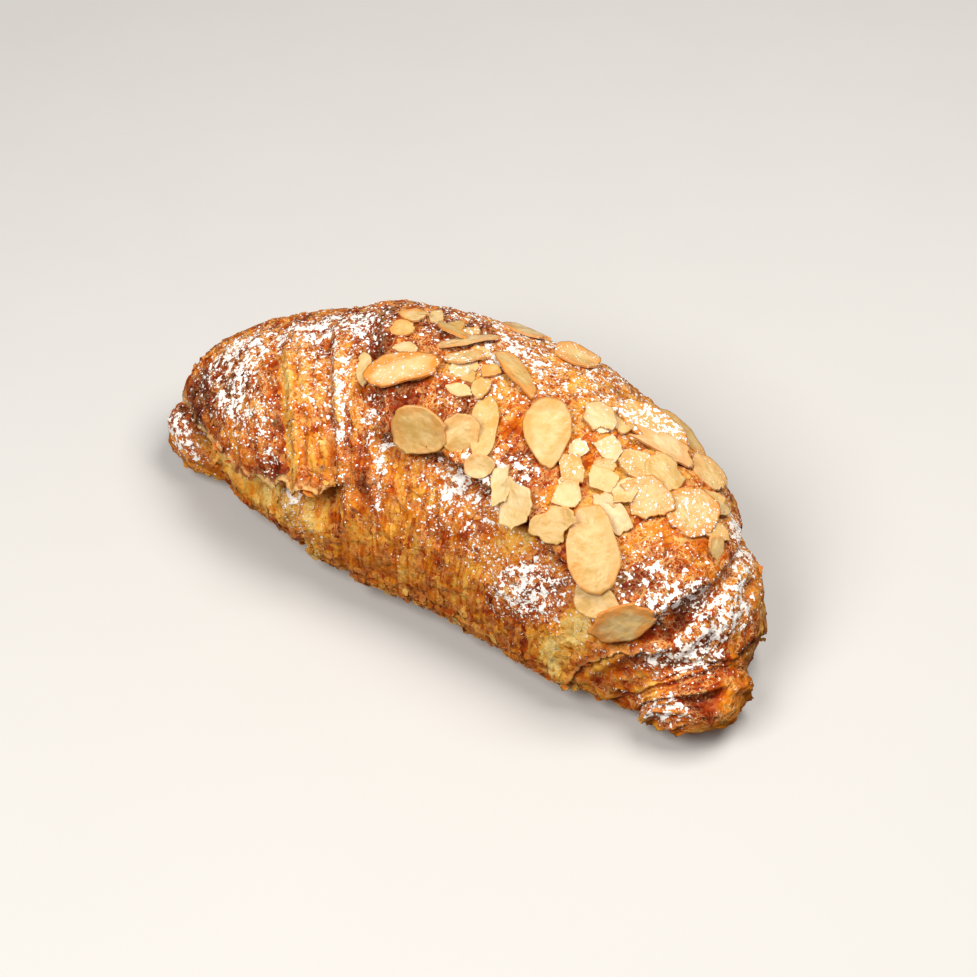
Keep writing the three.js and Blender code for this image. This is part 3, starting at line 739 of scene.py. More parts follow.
def browning_and_shade(station, angle, place):
    """From 0, pale dough, to 1, dark crust, with painted shade in grooves, the crack and under overhangs.
    """
    left, right, front, flap = flap_distances(station, angle)
    below, opening = seam_distances(station, angle)
    upward = np.sin(np.radians(angle))
    amount = BROWNING_AND_SHADE
    base = amount["base"] + amount["top"] * ramp(upward, 0.0, 0.9)
    base = base + amount["low_front"] * between(angle, (185, 212), (235, 255))
    rim = np.minimum(np.minimum(left, right), front)
    base = base + amount["flap_rim"] * flap * bell(rim - 1.0, 2.5)
    # Painted shade in the crack beside the flap's right end
    base = base + amount["crack"] * bell(right + 1.0, 1.5) * ramp(front, -3, 0) * ramp(angle, 45, 70)
    # Painted shade just under the flap's front edge, where it overhangs
    shade_under_flap = flap * bell(front + 1.0, 1.6) * ramp(left, -3, 0) * ramp(right, -3, 0)
    base = base + amount["shade_under_flap"] * shade_under_flap
    past_pale = past_edge("pale", station, angle)
    pale_line = ramp(past_pale, -2.6, -0.8) * fall(past_pale - 0.5, 3.2) * ramp(angle, 82, 118)
    # Painted shade: a dark line in the groove before the ridge's edge
    groove_shade = bell(past_edge("ridge", station, angle) + 1.0, 1.4) * between(angle, (80, 95), (128, 145))
    base = base + amount["pale_line"] * pale_line + amount["groove_shade"] * groove_shade
    base = base + amount["seam_lip"] * opening * bell(below + 1.5, 2.0)
    base = base + patches(station, angle, BROWNED) - patches(station, angle, PALE)
    mottle = amount["large_mottle"] * rough(place / 9.0, 40)
    mottle = mottle + amount["small_mottle"] * rough(place / 3.0, 43)
    strands = rough(pair(flow_station(station, angle) / 1.6, angle / 40.0), 46)
    folds, thin, showing = right_layers(station, angle, place)
    layered = amount["right_folds"] * folds + amount["right_layers"] * thin + amount["right_tip"]
    baked_and_shaded = base + mottle + amount["strands"] * strands
    # Painted light and shade on the small left folds: paler crests, darker grooves
    baked_and_shaded = baked_and_shaded + amount["left_fold_shading"] * left_ridges(station, angle) + showing * layered
    band = opening * between(below, (0.2, 1.0), (8.0, 13.0))
    ridges = saw(below / SEAM_LAYER_SPACING + 0.8 * rough(place / 5.0, 37, 2))
    inner = amount["seam_band"] + amount["seam_layers"] * ridges
    # Painted shadow: a dark band just under the seam's lip, where its overhang shades the layers
    inner = inner + amount["seam_gap_shadow"] * bell(below - 0.8, 1.0) + 0.6 * mottle
    return np.clip(baked_and_shaded * (1.0 - band) + inner * band, 0.0, 1.0)


def lip_edges(station, angle):
    """Thin torn edges of the layers, which stay pale."""
    left, _, front, showing = flap_distances(station, angle)
    below, opening = seam_distances(station, angle)
    layer = bell(past_edge("layer", station, angle) + 0.3, 0.5) * ramp(angle, 60, 80)
    edges = PALE_RIMS["seam"] * opening * bell(below + 0.6, 0.8)
    edges = edges + PALE_RIMS["flap"] * showing * bell(front - 0.4, 0.5) * ramp(left, -1, 1)
    edges = edges + PALE_RIMS["layer"] * layer
    edges = edges + PALE_RIMS["knob"] * bell(past_edge("knob", station, angle) - 0.6, 0.7)
    return np.clip(edges, 0.0, 1.0)


def sugar_cover(station, angle, place):
    """Share of the crust under icing sugar, which falls from above."""
    below, opening = seam_distances(station, angle)
    facing = ramp(np.sin(np.radians(angle)), -0.3, 0.6)
    cover = SUGAR_OVERALL * facing + patches(station, angle, SUGARED)
    drifts = 0.75 + 0.6 * rough(place / 8.0, 50)
    sheltered = opening * between(below, (-0.5, 0.5), (2.0, 4.0))
    _, right, front, _ = flap_distances(station, angle)
    cracked = bell(right + 1.4, 2.2) * ramp(front, -3, 0) * ramp(angle, 75, 95)
    return np.clip(cover * drifts * (1.0 - sheltered) * (1.0 - cracked), 0.0, SUGAR_LIMIT)


# Meshes

def mesh_object(name, points, faces, layers, material, smooth=True):
    """A mesh piece from points in millimetres, with a float layer for each named field."""
    mesh = bpy.data.meshes.new(name)
    mesh.from_pydata((points * MM).tolist(), [], faces)
    for layer, values in layers.items():
        attribute = mesh.attributes.new(layer, "FLOAT", "POINT")
        attribute.data.foreach_set("value", np.asarray(values, np.float32))
    mesh.polygons.foreach_set("use_smooth", np.broadcast_to(smooth, len(mesh.polygons)).astype(bool))
    mesh.materials.append(material)
    mesh.update()
    piece = bpy.data.objects.new(name, mesh)
    bpy.context.scene.collection.objects.link(piece)
    return piece


def copies(points, faces):
    """Points and faces of many copies of one form; points come as copy, point, axis."""
    count, size, _ = points.shape
    placed = [tuple(index + copy * size for index in face) for copy in range(count) for face in faces]
    return points.reshape(-1, 3), placed


def spread(anchors, runs, share):
    """The place a share of the way along rows of anchors, where each gap holds its own number of steps."""
    anchors = np.stack([np.broadcast_to(anchor, share.shape) for anchor in anchors])
    ends = np.cumsum(runs)
    index = share * ends[-1]
    run = np.minimum(np.searchsorted(ends, index, side="left"), len(runs) - 1)
    start = np.concatenate(([0], ends))[run]
    part = np.clip((index - start) / np.asarray(runs)[run], 0.0, 1.0)
    column = np.arange(share.size)
    return run, part, anchors[run, column], anchors[run + 1, column]


def column_station(share, angle):
    """Columns follow the wrap edges and crowd towards the tips."""
    at = {name: edge_station(name, angle) for name in EDGES}
    anchors = [-LEFT_LENGTH, at["knob"]]
    for name in ("pale", "ridge", "flap_left"):
        anchors += [at[name], at[name] + STEP_WIDTH]
    anchors += [at["flap_right"] - STEP_WIDTH, at["flap_right"]]
    anchors += [at["layer"], at["layer"] + LAYER_STEP, at["lobe"]]
    anchors += [at["fold"], at["fold"] + LAYER_STEP, RIGHT_LENGTH]
    run, part, start, end = spread(anchors, COLUMN_RUNS, share)
    part = np.where(run == 0, 1.0 - np.cos(part * np.pi / 2.0), part)
    part = np.where(run == len(COLUMN_RUNS) - 1, np.sin(part * np.pi / 2.0), part)
    return start + (end - start) * part


def row_angle(share, station):
    """Rows follow the seam and the flap's front edge."""
    front = flap_front_angle(station) - ROW_RISE * (1.0 - ramp(station, *ROW_RISE_RUN))
    seam = np.maximum(seam_angle(station), front + 22.0)
    anchors = [270.0, 226.0, seam + SEAM_STEP, seam, front + FLAP_STEP, front, 60.0, -25.0, -90.0]
    _, part, start, end = spread(anchors, ROW_RUNS, share)
    return start + (end - start) * part


def crust_grid():
    """Station and angle of every grid point, tip to tip, and the faces over them."""
    columns = sum(COLUMN_RUNS)
    rows = sum(ROW_RUNS)
    along = np.repeat(np.arange(1, columns) / columns, rows)
    around = np.tile(np.arange(rows) / rows, columns - 1)
    angle = np.full(along.shape, 90.0)
    for _ in range(CROSSING_PASSES):
        station = column_station(along, angle)
        angle = row_angle(around, station)
    station = np.concatenate((station, [-LEFT_LENGTH, RIGHT_LENGTH]))
    angle = np.concatenate((angle, [90.0, 90.0]))
    left_tip = (columns - 1) * rows
    last = (columns - 2) * rows
    faces = []
    for row in range(rows):
        after = (row + 1) % rows
        faces.append((left_tip, row, after))
        faces.append((left_tip + 1, last + after, last + row))
        for start in range(0, last, rows):
            faces.append((start + row, start + rows + row, start + rows + after, start + after))
    return station, angle, faces


def make_crust(material):
    station, angle, faces = crust_grid()
    points = skin(station, angle)
    layers = {
        "browning_and_shade": browning_and_shade(station, angle, points),
        "sugar": sugar_cover(station, angle, points),
        "flow": flow_station(station, angle),
        "round": angle * ARC,
        "rim": lip_edges(station, angle),
    }
    return mesh_object("crust", points, faces, layers, material)


# Profile of a flake from the middle of its top, over its rim, to the middle of its underside:
# share of the way out and share of the thickness
FLAKE_PROFILE = (
    (0.0, 0.5), (0.35, 0.5), (0.65, 0.5), (0.92, 0.5), (1.0, 0.5),
    (1.0, -0.5), (0.92, -0.5), (0.65, -0.5), (0.35, -0.5), (0.0, -0.5),
)
FLAKE_SEGMENTS = 52
SNAPPED_SHARE = 0.62  # how far out a torn flake's snapped end lies
FULLNESS = {"slice": 1.1, "oblong": 0.82, "torn": 1.1}
NARROWING = {"slice": 0.24, "oblong": 0.16, "torn": 0.24}
UNEVENNESS = {"slice": 0.13, "oblong": 0.20, "torn": 0.27}


def whole_outline(form, random):
    """A slice's outline in a unit square: pointed or squared, and snapped across one end if it is torn."""
    turn = (np.arange(FLAKE_SEGMENTS) + 0.5) / FLAKE_SEGMENTS * 2.0 * np.pi
    x = -np.sign(np.cos(turn)) * np.abs(np.cos(turn)) ** min(FULLNESS[form], 1.0)
    y = np.sign(np.sin(turn)) * np.abs(np.sin(turn)) ** FULLNESS[form]
    y = y * (1.0 - NARROWING[form] * x - 0.08 * x * x)
    if form == "torn":
        snap = SNAPPED_SHARE + 0.35 * rough(pair(y * 1.8 + random.uniform(0, 90), 0.5), 83, 4)
        x = np.minimum(x, snap)
    around = pair(np.cos(turn) * 1.5 + random.uniform(0, 90), np.sin(turn) * 1.5)
    uneven = 1.0 + UNEVENNESS[form] * rough(around, 80, 5)
    return np.stack([x, y], axis=-1) * uneven[:, None]


def chip_outline(form, random):
    """A broken slice in a unit square: straight snapped sides between corners, with a ragged line."""
    count = CHIP_CORNERS[form]
    turn = (np.arange(count) + 0.6 * random.rand(count)) / count * 2.0 * np.pi
    reach = random.uniform(*CHIP_REACHES[form], count)
    corners = np.stack([reach * np.cos(turn), reach * np.sin(turn)], axis=-1)
    corners = np.concatenate([corners, corners[:1]])
    at = np.linspace(0.0, count, FLAKE_SEGMENTS, endpoint=False)
    sides = [np.interp(at, np.arange(count + 1), corners[:, axis]) for axis in (0, 1)]
    return np.stack(sides, axis=-1) * (1.0 + random.uniform(-0.05, 0.05, (FLAKE_SEGMENTS, 1)))


def flake_shape(spec, random):
    """Points of one flake lying flat, with each one's share of the way to the rim."""
    form, _, _, _, length, width = spec[:6]
    outline = chip_outline(form, random) if form in CHIP_CORNERS else whole_outline(form, random)
    outline = outline * (length / 2.0, width / 2.0)
    shape = []
    rim = []
    for out, level in FLAKE_PROFILE:
        ring = outline * out if out > 0 else np.zeros((1, 2))
        shape.append(np.column_stack([ring, np.full(len(ring), level * FLAKE_THICKNESS)]))
        rim.append(np.full(len(ring), out))
    shape = np.concatenate(shape)
    x = shape[:, 0]
    y = shape[:, 1]
    wave = 0.7 * noise(pair(x / 7.0 + random.uniform(0, 50), y / 7.0), 90)
    wave = wave + 0.2 * noise(pair(x / 2.5, y / 2.5), 91)
    cup = random.uniform(*FLAKE_CUPS) * y * y
    raised = spec[9] * np.maximum(2.0 * x / length, 0.0) ** 2
    shape[:, 2] += wave + cup + raised - FLAKE_CURL * (x * x - length * length / 24.0)
    return shape, np.concatenate(rim)


def laid_on_crust(shape, spec):
    """A flat shape turned and set down at its place on the crust."""
    _, station, angle, heading, _, _, roll, pitch, stand = spec[:9]
    tilt = math.radians(pitch)
    lean = math.radians(roll)
    x, y, z = shape.T
    x, z = x * math.cos(tilt) + z * math.sin(tilt), z * math.cos(tilt) - x * math.sin(tilt)
    y, z = y * math.cos(lean) - z * math.sin(lean), y * math.sin(lean) + z * math.cos(lean)
    at = (np.array([float(station)]), np.array([float(angle)]))
    along, down, normal = (axis[0] for axis in skin_frame(*at))
    turn = math.radians(heading)
    x_axis = along * math.cos(turn) + down * math.sin(turn)
    x_axis = unit(x_axis - normal * (x_axis @ normal))
    y_axis = np.cross(normal, x_axis)
    middle = skin(*at)[0] + normal * (FLAKE_STAND + stand)
    return middle + np.outer(x, x_axis) + np.outer(y, y_axis) + np.outer(z, normal)


def flake_faces(first):
    """Faces of a flake whose points start at a given number."""
    faces = []
    rings = len(FLAKE_PROFILE) - 2
    last = first + 1 + (rings - 1) * FLAKE_SEGMENTS
    bottom = last + FLAKE_SEGMENTS
    for segment in range(FLAKE_SEGMENTS):
        after = (segment + 1) % FLAKE_SEGMENTS
        faces.append((first, first + 1 + after, first + 1 + segment))
        faces.append((bottom, last + segment, last + after))
        for start in range(first + 1, last, FLAKE_SEGMENTS):
            below = start + FLAKE_SEGMENTS
            faces.append((start + segment, start + after, below + after, below + segment))
    return faces


def small_chips(random):
    chips = []
    for zone in CHIP_ZONES:
        for index in range(zone["count"]):
            share = (index + random.rand()) / zone["count"]
            chips.append((
                "chip",
                zone["stations"][0] + (zone["stations"][1] - zone["stations"][0]) * share,
                random.uniform(*zone["angles"]),
                random.uniform(0, 180),
                random.uniform(*CHIP_LENGTHS),
                random.uniform(*CHIP_WIDTHS),
                random.uniform(*CHIP_ROLLS), 0, CHIP_STAND, 0,
                random.uniform(*CHIP_TOASTS),
                random.uniform(*CHIP_SUGARS),
            ))
    return chips


def make_flakes(material):
    random = np.random.RandomState(CHIP_SEED)
    points = []
    faces = []
    layers = {"rim": [], "toast": [], "sugar": [], "tint": []}
    for spec in (*FLAKES, *small_chips(random)):
        shape, rim = flake_shape(spec, random)
        faces += flake_faces(len(rim) * len(points))
        points.append(laid_on_crust(shape, spec))
        layers["rim"].append(rim)
        layers["toast"].append(np.full(len(rim), spec[10]))
        layers["sugar"].append(np.full(len(rim), spec[11]))
        layers["tint"].append(np.full(len(rim), random.uniform(*FLAKE_TINTS)))
    layers = {name: np.concatenate(values) for name, values in layers.items()}
    rounded = [np.ptp(layers["rim"][list(face)]) > 0.0 for face in faces]
    return mesh_object("almond_flakes", np.concatenate(points), faces, layers, material, rounded)


def scattered(count, weight, random):
    """Stations and angles drawn at random over the skin, more of them where the weight is high."""
    tries = count * SCATTER_TRIES
    station = random.uniform(-LEFT_LENGTH + 1.0, RIGHT_LENGTH - 1.0, tries)
    angle = random.uniform(*SCATTER_ANGLES, tries)
    width, top, low = envelope(station, angle)
    area = (width + top - low) / (HALF_WIDTH + HEIGHT)
    keep = random.rand(station.size) < np.clip(weight(station, angle) * area, 0.0, 1.0)
    return station[keep][:count], angle[keep][:count]


def torn_edges(station, angle):
    """Where the crust's layers end in torn flakes, from 0 to 1."""
    left, right, front, showing = flap_distances(station, angle)
    below, opening = seam_distances(station, angle)
    rim = np.minimum(np.minimum(left, right), front)
    pale = bell(past_edge("pale", station, angle) - 1.0, 1.5) * ramp(angle, 70, 95)
    lower = bell(angle - LOWER_EDGE_ANGLE, LOWER_EDGE_REACH) * ramp(station, -78, -66)
    edges = TORN_EDGES["flap"] * showing * bell(rim - 0.5, 1.5) + opening * bell(below + 0.5, 1.2)
    edges = edges + TORN_EDGES["knob"] * bell(past_edge("knob", station, angle) - 1.0, 1.5)
    edges = edges + TORN_EDGES["pale"] * pale + TORN_EDGES["lower"] * lower
    return np.clip(edges, 0.0, 1.0) * ramp(angle, 60, 85)


def under_flakes(station, angle):
    """Whether a place on the crust lies under one of the flakes in the list."""
    covered = np.zeros(np.broadcast(station, angle).shape, dtype=bool)
    for _, flake_station, flake_angle, heading, length, width, *_ in FLAKES:
        turn = math.radians(heading)
        x = station - flake_station
        y = (angle - flake_angle) * ARC
        along = (x * math.cos(turn) + y * math.sin(turn)) / length
        across = (y * math.cos(turn) - x * math.sin(turn)) / width
        covered = covered | (along ** 2 + across ** 2 < 0.25)
    return covered


def scale_weight(station, angle):
    bare = (1.0 - ramp(station, 66, 72)) * ~under_flakes(station, angle)
    return (SCALE_SHARE + TORN_SHARE * torn_edges(station, angle)) * bare


def scale_faces():
    """Top fan, rim and underside of a scale: a middle and a ring of corners, above and below."""
    under = SCALE_CORNERS + 1
    faces = []
    for corner in range(SCALE_CORNERS):
        this = 1 + corner
        after = 1 + (corner + 1) % SCALE_CORNERS
        faces.append((0, this, after))
        faces.append((under, under + after, under + this))
        faces.append((this, under + this, under + after, after))
    return faces


def make_scales(material):
    random = np.random.RandomState(SCALE_SEED)
    station, angle = scattered(SCALE_COUNT, scale_weight, random)
    count = station.size
    along, down, normal = skin_frame(station, angle, 1.0, 0.9, 1.5)
    turn = random.uniform(0.0, 2.0 * np.pi, count)[:, None]
    forward = along * np.cos(turn) + down * np.sin(turn)
    across = np.cross(normal, forward)
    torn = torn_edges(station, angle)[:, None] * random.uniform(0.0, 1.0, (count, 1)) ** 2
    size = random.uniform(*SCALE_SIZES, (count, 1)) * (1.0 + TORN_GROWTH * torn)
    lift = size * (random.uniform(*SCALE_LIFTS, (count, 1)) + TORN_LIFT * torn)
    curl = size * random.uniform(*SCALE_CURLS, (count, 1))
    steps = (np.arange(SCALE_CORNERS) + random.uniform(0.0, 0.7, (count, SCALE_CORNERS))) / SCALE_CORNERS
    reach = random.uniform(*SCALE_REACHES, (count, SCALE_CORNERS))
    middle = np.zeros((count, 1))
    x = np.hstack([middle, reach * np.cos(2.0 * np.pi * steps)])
    x = x * random.uniform(*SCALE_STRETCHES, (count, 1))
    y = np.hstack([middle, reach * np.sin(2.0 * np.pi * steps)])
    level = lift * (x + SCALE_HINGE) + curl * y * y
    flat = (x * size)[..., None] * forward[:, None] + (y * size)[..., None] * across[:, None]
    place = skin(station, angle)
    top = place[:, None] + flat + (level + SCALE_THICKNESS / 2.0)[..., None] * normal[:, None]
    under = top - SCALE_THICKNESS * normal[:, None]
    points, faces = copies(np.concatenate([top, under], axis=1), scale_faces())
    corners = 2 * (SCALE_CORNERS + 1)
    baked_and_shaded = np.clip(browning_and_shade(station, angle, place) + random.normal(*SCALE_TONES, count), 0.0, 1.0)
    rim = np.tile(np.arange(SCALE_CORNERS + 1) > 0, 2 * count)
    layers = {
        "browning_and_shade": np.repeat(baked_and_shaded, corners),
        "sugar": np.repeat(SCALE_SUGAR * sugar_cover(station, angle, place), corners),
        "flow": np.repeat(station, corners),
        "round": np.repeat(angle * ARC, corners),
        "rim": SCALE_RIM * rim * np.repeat(random.uniform(0.0, 1.0, count), corners),
    }
    return mesh_object("crust_flakes", points, faces, layers, material, False)


GOLDEN = (1.0 + math.sqrt(5.0)) / 2.0
GRAIN_CORNERS = unit(np.array([
    (-1, GOLDEN, 0), (1, GOLDEN, 0), (-1, -GOLDEN, 0), (1, -GOLDEN, 0),
    (0, -1, GOLDEN), (0, 1, GOLDEN), (0, -1, -GOLDEN), (0, 1, -GOLDEN),
    (GOLDEN, 0, -1), (GOLDEN, 0, 1), (-GOLDEN, 0, -1), (-GOLDEN, 0, 1),
]))
GRAIN_FACES = [
    (0, 11, 5), (0, 5, 1), (0, 1, 7), (0, 7, 10), (0, 10, 11),
    (1, 5, 9), (5, 11, 4), (11, 10, 2), (10, 7, 6), (7, 1, 8),
    (3, 9, 4), (3, 4, 2), (3, 2, 6), (3, 6, 8), (3, 8, 9),
    (4, 9, 5), (2, 4, 11), (6, 2, 10), (8, 6, 7), (9, 8, 1),
]


def grain_weight(station, angle):
    side, up, *_ = bare_point(station, angle)
    return 1.2 * sugar_cover(station, angle, bend(station, side, up)) ** 1.3 * ~under_flakes(station, angle)


def make_grains(material):
    random = np.random.RandomState(GRAIN_SEED)
    station, angle = scattered(GRAIN_COUNT, grain_weight, random)
    count = station.size
    along, down, normal = skin_frame(station, angle, 1.0, 0.5, 0.8)
    size = np.minimum(GRAIN_SIZE * np.exp(random.normal(0.0, GRAIN_SPREAD, count)), GRAIN_LARGEST)
    stretch = random.uniform(*GRAIN_STRETCHES, (count, 1, 1))
    reach = random.uniform(*GRAIN_REACHES, (count, len(GRAIN_CORNERS), 1))
    corners = GRAIN_CORNERS[None] * reach * size[:, None, None]
    middle = skin(station, angle) + normal * size[:, None] * GRAIN_STAND
    points = middle[:, None, :] + corners[..., :1] * stretch * along[:, None]
    points = points + corners[..., 1:2] * down[:, None]
    points = points + GRAIN_FLATNESS * corners[..., 2:] * normal[:, None]
    points, faces = copies(points, GRAIN_FACES)
    return mesh_object("icing_sugar", points, faces, {}, material)


# Materials

def srgb(red, green, blue):
    """A colour as seen on a screen, 0 to 255, turned into linear light."""
    linear = []
    for channel in (red, green, blue):
        share = channel / 255.0
        linear.append(share / 12.92 if share <= 0.04 else ((share + 0.055) / 1.055) ** 2.4)
    return (*linear, 1.0)


class Graph:
    """A material's nodes, from coordinates in metres to its surface."""

    def __init__(self, name):
        self.material = bpy.data.materials.new(name)
        self.material.use_nodes = True
        self.tree = self.material.node_tree
        self.shader = self.tree.nodes["Principled BSDF"]
        self.coords = self.tree.nodes.new("ShaderNodeTexCoord").outputs["Object"]

    def add(self, kind, inputs, output=0, **settings):
        node = self.tree.nodes.new(kind)
        for name, value in settings.items():
            setattr(node, name, value)
        for key, value in inputs.items():
            self.feed(node.inputs[key], value)
        return node.outputs[output]

    def feed(self, socket, value):
        if isinstance(value, bpy.types.NodeSocket):
            self.tree.links.new(value, socket)
        else:
            socket.default_value = value

    def surface(self, **values):
        for name, value in values.items():
            self.feed(self.shader.inputs[name.replace("_", " ").title().replace("Ior", "IOR")], value)

    def math(self, operation, first, second=0.0):
        return self.add("ShaderNodeMath", {0: first, 1: second}, operation=operation)

    def times(self, first, second):
        return self.math("MULTIPLY", first, second)

    def vector(self, operation, first, second):
        output = "Value" if operation == "DOT_PRODUCT" else "Vector"
        return self.add("ShaderNodeVectorMath", {0: first, 1: second}, output, operation=operation)

    def attribute(self, name):
        return self.add("ShaderNodeAttribute", {}, "Fac", attribute_name=name)

    def noise(self, size, detail=3.0, roughness=0.55):
        """Noise about its middle, its features a size in millimetres."""
        inputs = {"Vector": self.coords, "Scale": 1000.0 / size, "Detail": detail, "Roughness": roughness}
        return self.math("SUBTRACT", self.add("ShaderNodeTexNoise", inputs, "Fac"), 0.5)

    def strands(self, across, along):
        """Noise drawn out along the dough's strands, its features two sizes in millimetres."""
        place = self.add("ShaderNodeCombineXYZ", {
            "X": self.math("DIVIDE", self.attribute("flow"), across),
            "Y": self.math("DIVIDE", self.attribute("round"), along),
        })
        inputs = {"Vector": place, "Scale": 1.0, "Detail": 3.0, "Roughness": 0.6}
        return self.math("SUBTRACT", self.add("ShaderNodeTexNoise", inputs, "Fac"), 0.5)

    def plates(self, size):
        """Small tilted pieces: a height in millimetres, and a random value for each."""
        inputs = {"Vector": self.coords, "Scale": 1000.0 / size}
        node = self.add("ShaderNodeTexVoronoi", inputs).node
        offset = self.vector("SUBTRACT", self.coords, node.outputs["Position"])
        tilt = self.vector("SUBTRACT", node.outputs["Color"], (0.5, 0.5, 0.5))
        height = self.times(self.vector("DOT_PRODUCT", offset, tilt), 1000.0)
        value = self.add("ShaderNodeSeparateColor", {"Color": node.outputs["Color"]}, "Red")
        return height, self.math("SUBTRACT", value, 0.5)

    def leaves(self, across, along):
        """Leaves drawn out along the strands, two sizes in millimetres: height, value and painted-highlight
        rims.
        """
        waver = self.noise(2.0, 2.0)
        place = self.add("ShaderNodeCombineXYZ", {
            "X": self.total(self.math("DIVIDE", self.attribute("flow"), across), (waver, 1.6)),
            "Y": self.total(self.math("DIVIDE", self.attribute("round"), along), (waver, 0.9)),
        })
        inputs = {"Vector": place, "Scale": 1.0}
        flat = {"voronoi_dimensions": "2D"}
        node = self.add("ShaderNodeTexVoronoi", inputs, **flat).node
        border = self.add("ShaderNodeTexVoronoi", inputs, "Distance", **flat, feature="DISTANCE_TO_EDGE")
        offset = self.vector("SUBTRACT", place, node.outputs["Position"])
        height = self.vector("DOT_PRODUCT", offset, (0.25, 0.6, 0.0))
        value = self.add("ShaderNodeSeparateColor", {"Color": node.outputs["Color"]}, "Red")
        return height, self.math("SUBTRACT", value, 0.5), self.step(border, 0.03, 0.13, 1.0, 0.0)

    def total(self, first, *parts):
        """A value plus others, each given with its weight."""
        for value, weight in parts:
            first = self.add("ShaderNodeMath", {0: value, 1: weight, 2: first}, operation="MULTIPLY_ADD")
        return first

    def step(self, value, low, high, start=0.0, end=1.0):
        inputs = {"Value": value, "From Min": low, "From Max": high, "To Min": start, "To Max": end}
        return self.add("ShaderNodeMapRange", inputs, interpolation_type="SMOOTHSTEP")

    def ramp(self, value, stops):
        node = self.add("ShaderNodeValToRGB", {"Fac": value}).node
        elements = node.color_ramp.elements
        while len(elements) < len(stops):
            elements.new(0.5)
        for element, (position, colour) in zip(elements, stops):
            element.position = position
            element.color = colour
        return node.outputs["Color"]

    def mix(self, factor, first, second):
        return self.add("ShaderNodeMix", {0: factor, 6: first, 7: second}, 2, data_type="RGBA")

    def bump(self, height):
        """Bump from a height in millimetres."""
        return self.add("ShaderNodeBump", {"Height": height, "Distance": MM, "Strength": 1.0}, "Normal")

    def warped(self, size, reach):
        """Coordinates shifted about by a noise: the size of its features and its reach, in millimetres."""
        inputs = {"Vector": self.coords, "Scale": 1000.0 / size, "Detail": 2.0}
        shift = self.add("ShaderNodeTexNoise", inputs, "Color")
        centred = self.vector("SUBTRACT", shift, (0.5, 0.5, 0.5))
        return self.vector("ADD", self.coords, self.vector("MULTIPLY", centred, (2.0 * reach * MM,) * 3))

    def specks(self, size, share):
        """Ragged specks, one to a cell of a size in millimetres, in a share of the cells."""
        inputs = {"Vector": self.warped(0.6, 0.42), "Scale": 1000.0 / size}
        node = self.add("ShaderNodeTexVoronoi", inputs).node
        draws = self.add("ShaderNodeSeparateColor", {"Color": node.outputs["Color"]}).node.outputs
        reach = self.total(0.22, (draws["Green"], 0.34))
        inside = self.step(self.math("SUBTRACT", reach, node.outputs["Distance"]), 0.0, 0.05)
        drawn = self.step(self.math("SUBTRACT", share, draws["Red"]), 0.0, 0.02)
        return self.times(inside, drawn)

    def sugar_mask(self, cover, fineness=1.0):
        """Where clumps and specks of icing sugar lie, given the share they cover, and the dust about them.

        A fineness under 1 makes them smaller.
        """
        drift = self.total(self.noise(1.8 * fineness, 2.5, 0.62), (cover, 0.55))
        clumps = self.step(drift, 0.275, 0.30)
        specks = self.specks(0.8 * fineness, self.total(-0.02, (cover, 0.44)))
        return self.math("MAXIMUM", clumps, specks), self.step(drift, 0.18, 0.28, 0.0, 0.08)


# White of the icing sugar, tinted warm as painted bounce light from the crust
SUGAR_WHITE_WITH_BOUNCE = srgb(255, 247, 239)
SUGAR_DUST = srgb(230, 190, 160)
CRUST_STOPS = (
    (0.0, srgb(228, 196, 118)),
    (0.22, srgb(222, 160, 60)),
    (0.42, srgb(206, 118, 25)),
    (0.60, srgb(176, 77, 12)),
    (0.80, srgb(136, 42, 7)),
    (1.0, srgb(88, 23, 5)),
)
# Pale colour for the layers' torn edges and for the painted glints on the crust
CRUST_PALE_AND_GLINT = srgb(242, 196, 124)
ALMOND_STOPS = ((0.1, srgb(194, 153, 82)), (0.5, srgb(208, 173, 112)), (0.9, srgb(216, 189, 142)))
ALMOND_TOASTED = srgb(208, 130, 44)
ALMOND_EDGE = srgb(190, 108, 36)
GRAIN_STOPS = ((0.2, srgb(236, 228, 216)), (0.8, srgb(252, 250, 247)))
FLOOR_STOPS = ((0.0, srgb(190, 188, 185)), (1.0, srgb(198, 196, 193)))


